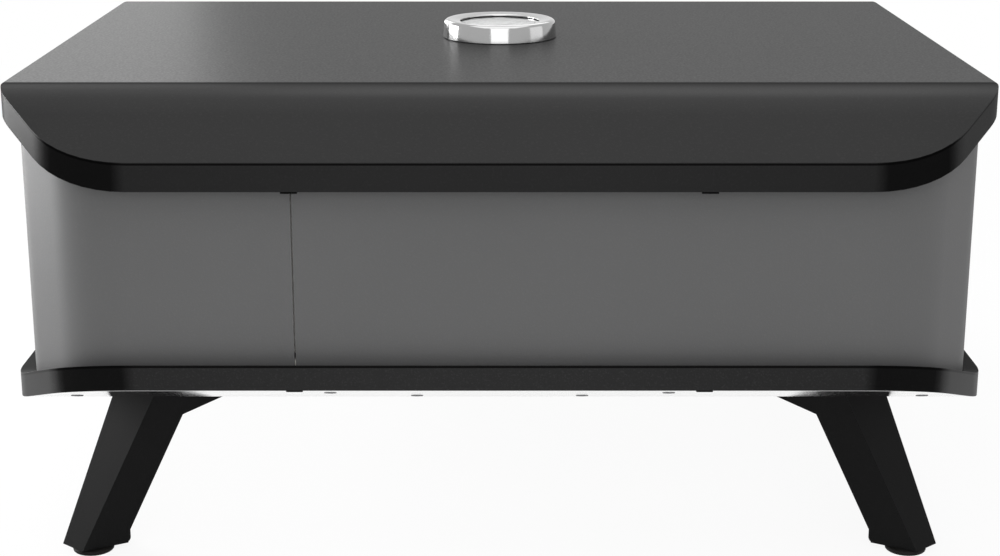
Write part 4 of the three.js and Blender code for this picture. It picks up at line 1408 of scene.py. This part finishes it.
@dataclass
class Controls:
    """Knob, its bezel and the igniter's button, with their marks."""

    bench: Bench
    grip_edge: float = 0.0006
    bezel_edge: float = 0.0002
    centre_y: float = 0.02
    centre_z: float = 0.185
    mark_span: Span = (0.0232, 0.0268)
    mark_half: float = 0.00035
    mark_depth: float = 0.00012
    mark_least: float = 0.35
    mark_count: int = 13
    line_size: Point = (0.0003, 0.0014, 0.0105)
    line_inset: float = 0.0045
    line_edge: float = 0.00008

    def build(self) -> None:
        """Dresses the pieces and adds the marks."""
        self.bench.dress("control_knob", Palette.plastic, SoftEdges(self.grip_edge))
        self.bench.dress("knob_bezel", Palette.black_paint, SoftEdges(self.bezel_edge))
        self.bench.dress("igniter_body", Palette.plastic)
        self.bench.dress("igniter_button", Palette.red_plastic, SoftEdges(self.grip_edge))
        self._bezel_marks()
        self._knob_line()

    def _bezel_marks(self) -> None:
        """Adds a row of ticks round the knob that lengthen towards full flame."""
        face = Vector((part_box("knob_bezel")[1].x, self.centre_y, self.centre_z))
        inner, outer = self.mark_span
        shapes = []
        for k in range(self.mark_count):
            part = k / (self.mark_count - 1)
            share = self.mark_least + (1 - self.mark_least) * part
            start = outer - (outer - inner) * share
            mark = tick(start, outer, self.mark_half, self.mark_depth, math.pi * part)
            shapes.append(placed(mark, face, Vector((1, 0, 0))))
        shape = merged(shapes)
        self.bench.piece("knob_bezel_marks", shape, Palette.white_ink, "body", "plastic")

    def _knob_line(self) -> None:
        """Adds the white line along the grip, towards the setting that it points at."""
        low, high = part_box("control_knob")
        top = self.centre_z + (high.z - low.z) / 2 - self.line_inset
        size = Vector(self.line_size)
        place = Matrix.Translation((high.x, self.centre_y, top - size.z / 2))
        shape = bmesh.new()
        bmesh.ops.create_cube(shape, size=1.0, matrix=place @ Matrix.Diagonal(size.to_4d()))
        bmesh.ops.bevel(
            shape, geom=shape.edges[:], offset=self.line_edge, segments=1, affect="EDGES"
        )
        self.bench.piece("knob_pointer_line", shape, Palette.white_ink, "knob", "plastic")


@dataclass
class LidGauge:
    """Thermometer on the lid, with its printed scale.

    Each kind of tick is given by its length and half its width.
    """

    bench: Bench
    bezel_edge: float = 0.0003
    glass_edge: float = 0.0002
    pointer_edge: float = 0.0001
    centre_x: float = 0.0
    centre_y: float = -0.004
    start_angle: float = 225.0
    sweep: float = 270.0
    ticks: int = 41
    tick_outer: float = 0.0268
    long_tick: Pair = (0.0040, 0.00035)
    short_tick: Pair = (0.0022, 0.00018)
    print_depth: float = 0.00012
    numbers: tuple[int, ...] = (0, 100, 200, 300, 400, 500)
    number_radius: float = 0.0188
    number_size: float = 0.0052
    number_steps: int = 2
    weld: float = 1e-7

    def build(self) -> None:
        """Dresses the gauge and prints its dial."""
        dress = self.bench.dress
        dress("thermometer_bezel", Palette.chrome, SoftEdges(self.bezel_edge))
        dress("thermometer_case", Palette.black_paint)
        dress("thermometer_dial", Palette.dial)
        dress("thermometer_glass", Palette.glass, SoftEdges(self.glass_edge))
        dress("thermometer_pointer", Palette.black_ink, SoftEdges(self.pointer_edge))
        dress("thermometer_probe", Palette.turned_steel)
        dress("thermometer_nut", Palette.brass)
        self._scale()

    def _turn(self, index: int, count: int) -> float:
        """The angle of one of so many marks along the scale, in radians."""
        return math.radians(self.start_angle - self.sweep * index / (count - 1))

    def _scale(self) -> None:
        """Adds tick marks and plain numbers to the dial."""
        centre = Vector((self.centre_x, self.centre_y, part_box("thermometer_dial")[1].z))
        count = len(self.numbers)
        per_number = (self.ticks - 1) // (count - 1)
        shapes = []
        for k in range(self.ticks):
            length, half = self.short_tick if k % per_number else self.long_tick
            inner = self.tick_outer - length
            mark = tick(inner, self.tick_outer, half, self.print_depth, self._turn(k, self.ticks))
            shapes.append(placed(mark, centre, Vector((0, 0, 1))))
        for index, number in enumerate(self.numbers):
            turn = self._turn(index, count)
            arm = Vector((math.cos(turn), math.sin(turn), 0)) * self.number_radius
            shapes.append(self._number(str(number), centre + arm))
        shape = merged(shapes)
        self.bench.piece("thermometer_scale", shape, Palette.black_ink, "body", "plastic")

    def _number(self, text: str, place: Vector) -> Shape:
        """A number as a thin solid, upright for somebody at the mouth.

        Args:
            text: The number.
            place: Its centre.

        Returns:
            The shape.
        """
        curve = bpy.data.curves.new("dial number", "FONT")
        curve.body = text
        curve.size = self.number_size
        curve.align_x = "CENTER"
        curve.align_y = "CENTER"
        curve.extrude = self.print_depth
        curve.resolution_u = self.number_steps
        holder = bpy.data.objects.new("dial number", curve)
        mesh = bpy.data.meshes.new_from_object(holder)
        shape = bmesh.new()
        shape.from_mesh(mesh)
        bmesh.ops.remove_doubles(shape, verts=shape.verts, dist=self.weld)
        bmesh.ops.transform(shape, matrix=Matrix.Translation(place), verts=shape.verts)
        bpy.data.objects.remove(holder)
        bpy.data.curves.remove(curve)
        bpy.data.meshes.remove(mesh)
        return shape


@dataclass
class FoldingLegs:
    """Four folded sheet legs with brackets, pins and rubber feet, and the brackets' rivets."""

    bench: Bench
    leg_edge: float = 0.0006
    foot_edge: float = 0.0004
    swing_angle: float = 29.6
    bracket_sheet: float = 0.002
    bracket_offset: float = 0.001
    rivet: FastenerHead = FastenerHead(
        radius=0.0022,
        height=0.0009,
        outline=((0, -1), (0.5, -1), (0.5, 0), (1, 0), (0.9, 0.5), (0.55, 0.9), (0, 1)),
        steps=16,
    )
    rivet_inward: float = 0.0125
    rivet_sideways: float = 0.012
    rivet_sharp: float = 60.0

    def build(self) -> None:
        """Dresses each leg and adds its rivets."""
        dress = self.bench.dress
        for corner in Corner:
            dress(f"leg_{corner.label}", Palette.leg_paint, SoftEdges(self.leg_edge))
            dress(f"leg_bracket_{corner.label}", Palette.plain_steel)
            dress(f"leg_pin_{corner.label}", Palette.turned_steel)
            dress(f"leg_foot_{corner.label}", Palette.rubber, SoftEdges(self.foot_edge))
            self._rivets(corner)

    def _rivets(self, corner: Corner) -> None:
        """Adds the domed rivet heads under one bracket's plate.

        Args:
            corner: The leg's corner.
        """
        side_x, side_y = corner.value
        pivot = next(
            joint["pos_m"] for joint in frame["joints"] if joint["child"] == f"leg_{corner.label}"
        )
        turn = math.radians(self.swing_angle)
        outwards = Vector((side_x * math.cos(turn), side_y * math.sin(turn), 0))
        across = Vector((-outwards.y, outwards.x, 0))
        plate_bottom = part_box(f"leg_bracket_{corner.label}")[1].z - self.bracket_sheet
        seat = Vector((pivot[0], pivot[1], plate_bottom)) - outwards * self.rivet_inward
        seat -= across * (self.bracket_offset * side_x * side_y)
        down = Vector((0, 0, -1))
        heads = [
            placed(self.rivet.shape(), seat + across * (hand * self.rivet_sideways), down)
            for hand in (1, -1)
        ]
        name = f"leg_bracket_rivets_{corner.label}"
        shape = merged(heads)
        self.bench.piece(name, shape, Palette.turned_steel, "body", "stainless", self.rivet_sharp)


@dataclass(frozen=True)
class SoftLamp:
    """A square soft lamp that faces a point."""

    name: str
    place: Point
    target: Point
    size: float
    power: float

    def build(self) -> None:
        """Adds the lamp."""
        light = bpy.data.lights.new(self.name, "AREA")
        light.shape = "SQUARE"
        light.size = self.size
        light.energy = self.power
        lamp = add_object(self.name, light)
        lamp.location = self.place
        aim = Vector(self.target) - Vector(self.place)
        lamp.rotation_euler = aim.to_track_quat("-Z", "Y").to_euler()


@dataclass
class Studio:
    """Pale floor, white surroundings, soft lamps and the camera at the photograph's place."""

    focal_pixels: float = 1891.6
    image_width: float = 1000.0
    sensor: float = 36.0
    camera_place: Point = (-0.00028, 1.36589, 0.50653)
    camera_pitch: float = 15.528
    camera_reach: Span = (0.05, 50.0)
    floor_size: float = 40.0
    floor_colour: Colour = (0.9, 0.9, 0.9)
    floor_fade: Span = (0.7, 2.0)
    floor_glow: float = 0.9
    world_light: float = 0.35
    lamps: tuple[SoftLamp, ...] = (
        SoftLamp("overhead softbox", (0.0, 0.5, 2.2), (0.0, 0.0, 0.2), 2.6, 30.0),
        SoftLamp("left softbox", (1.55, -0.55, 0.32), (0.1, 0.1, 0.2), 0.85, 37.0),
        SoftLamp("left front softbox", (1.25, -2.1, 0.8), (0.1, 0.0, 0.25), 1.5, 16.0),
        SoftLamp("right softbox", (-2.0, 0.3, 0.6), (-0.2, 0.1, 0.2), 1.2, 3.5),
        SoftLamp("rear fill", (0.0, 3.2, 1.4), (0.0, 0.0, 0.2), 2.2, 29.0),
        SoftLamp("mouth fill", (-0.3, -2.2, 2.2), (0.0, 0.0, 0.2), 1.6, 12.0),
    )

    def build(self) -> None:
        """Sets the stage."""
        self._world()
        self._floor()
        for lamp in self.lamps:
            lamp.build()
        self._camera()
        bpy.context.scene.view_settings.view_transform = "Standard"
        LOG.info("studio: floor, world, %d lamps and the camera", len(self.lamps))

    @staticmethod
    def _seen(nodes: Nodes) -> Signal:
        """1 for what the camera sees, also in mirrors and through glass.

        Args:
            nodes: The tree of a material or the world.

        Returns:
            The mask.
        """
        path = nodes.node("ShaderNodeLightPath", output="Is Camera Ray")
        mirrored = nodes.greatest(path, path.out("Is Glossy Ray"))
        return nodes.greatest(mirrored, path.out("Is Transmission Ray"))

    def _world(self) -> None:
        """Surroundings that show white and give less light."""
        world = bpy.data.worlds.new("white surroundings")
        bpy.context.scene.world = world
        world.use_nodes = True
        nodes = Nodes(world.node_tree)
        levels = {"Value": self._seen(nodes), "To Min": self.world_light, "To Max": 1.0}
        strength = nodes.node("ShaderNodeMapRange", {}, levels)
        light = {"Color": opaque((1.0, 1.0, 1.0)), "Strength": strength}
        background = nodes.node("ShaderNodeBackground", {}, light)
        nodes.node("ShaderNodeOutputWorld", {}, {"Surface": background})

    def _floor_material(self) -> bpy.types.Material:
        """Matt paint that shows white away from the oven and keeps its soft shadow.

        Returns:
            The material.
        """
        material = bpy.data.materials.new("pale floor")
        material.use_nodes = True
        nodes = Nodes(material.node_tree)
        place = nodes.node("ShaderNodeTexCoord", output="Object")
        reach = nodes.node("ShaderNodeVectorMath", {"operation": "LENGTH"}, {0: place}, "Value")
        start, end = self.floor_fade
        glow = nodes.node(
            "ShaderNodeMapRange",
            {"interpolation_type": "SMOOTHSTEP"},
            {"Value": reach, "From Min": start, "From Max": end, "To Min": self.floor_glow},
        )
        matt = nodes.node("ShaderNodeBsdfDiffuse", {}, {"Color": opaque(self.floor_colour)})
        white = nodes.node("ShaderNodeEmission", {}, {"Strength": 1.0})
        shown = {0: self._seen(nodes) * glow, 1: matt, 2: white}
        mixed = nodes.node("ShaderNodeMixShader", {}, shown)
        nodes.node("ShaderNodeOutputMaterial", {}, {"Surface": mixed})
        return material

    def _floor(self) -> None:
        """Adds the floor."""
        half = self.floor_size / 2
        shape = bmesh.new()
        corners = [(-half, -half, 0), (half, -half, 0), (half, half, 0), (-half, half, 0)]
        shape.faces.new([shape.verts.new(corner) for corner in corners])
        mesh = mesh_of("studio_floor", shape)
        mesh.materials.append(self._floor_material())
        floor = add_object("studio_floor", mesh)

    def _camera(self) -> None:
        """Adds the camera behind the oven, pitched down as the photograph was taken."""
        data = bpy.data.cameras.new("photograph camera")
        data.sensor_fit = "HORIZONTAL"
        data.sensor_width = self.sensor
        data.lens = self.focal_pixels * self.sensor / self.image_width
        data.clip_start, data.clip_end = self.camera_reach
        camera = add_object("photograph camera", data)
        camera.location = self.camera_place
        camera.rotation_euler = (math.radians(90 - self.camera_pitch), 0.0, math.pi)
        bpy.context.scene.camera = camera


def keep_sizes() -> None:
    bpy.context.view_layer.update()


def main() -> None:
    """Builds the sub-assemblies in order, then the studio."""
    logging.basicConfig(level=logging.INFO, format="%(message)s")
    bench = Bench(Palette())
    for assembly in (Shell, Hearth, GasTrain, Controls, LidGauge, FoldingLegs):
        assembly(bench).build()
    Studio().build()
    keep_sizes()


if __name__ == "__main__":
    main()
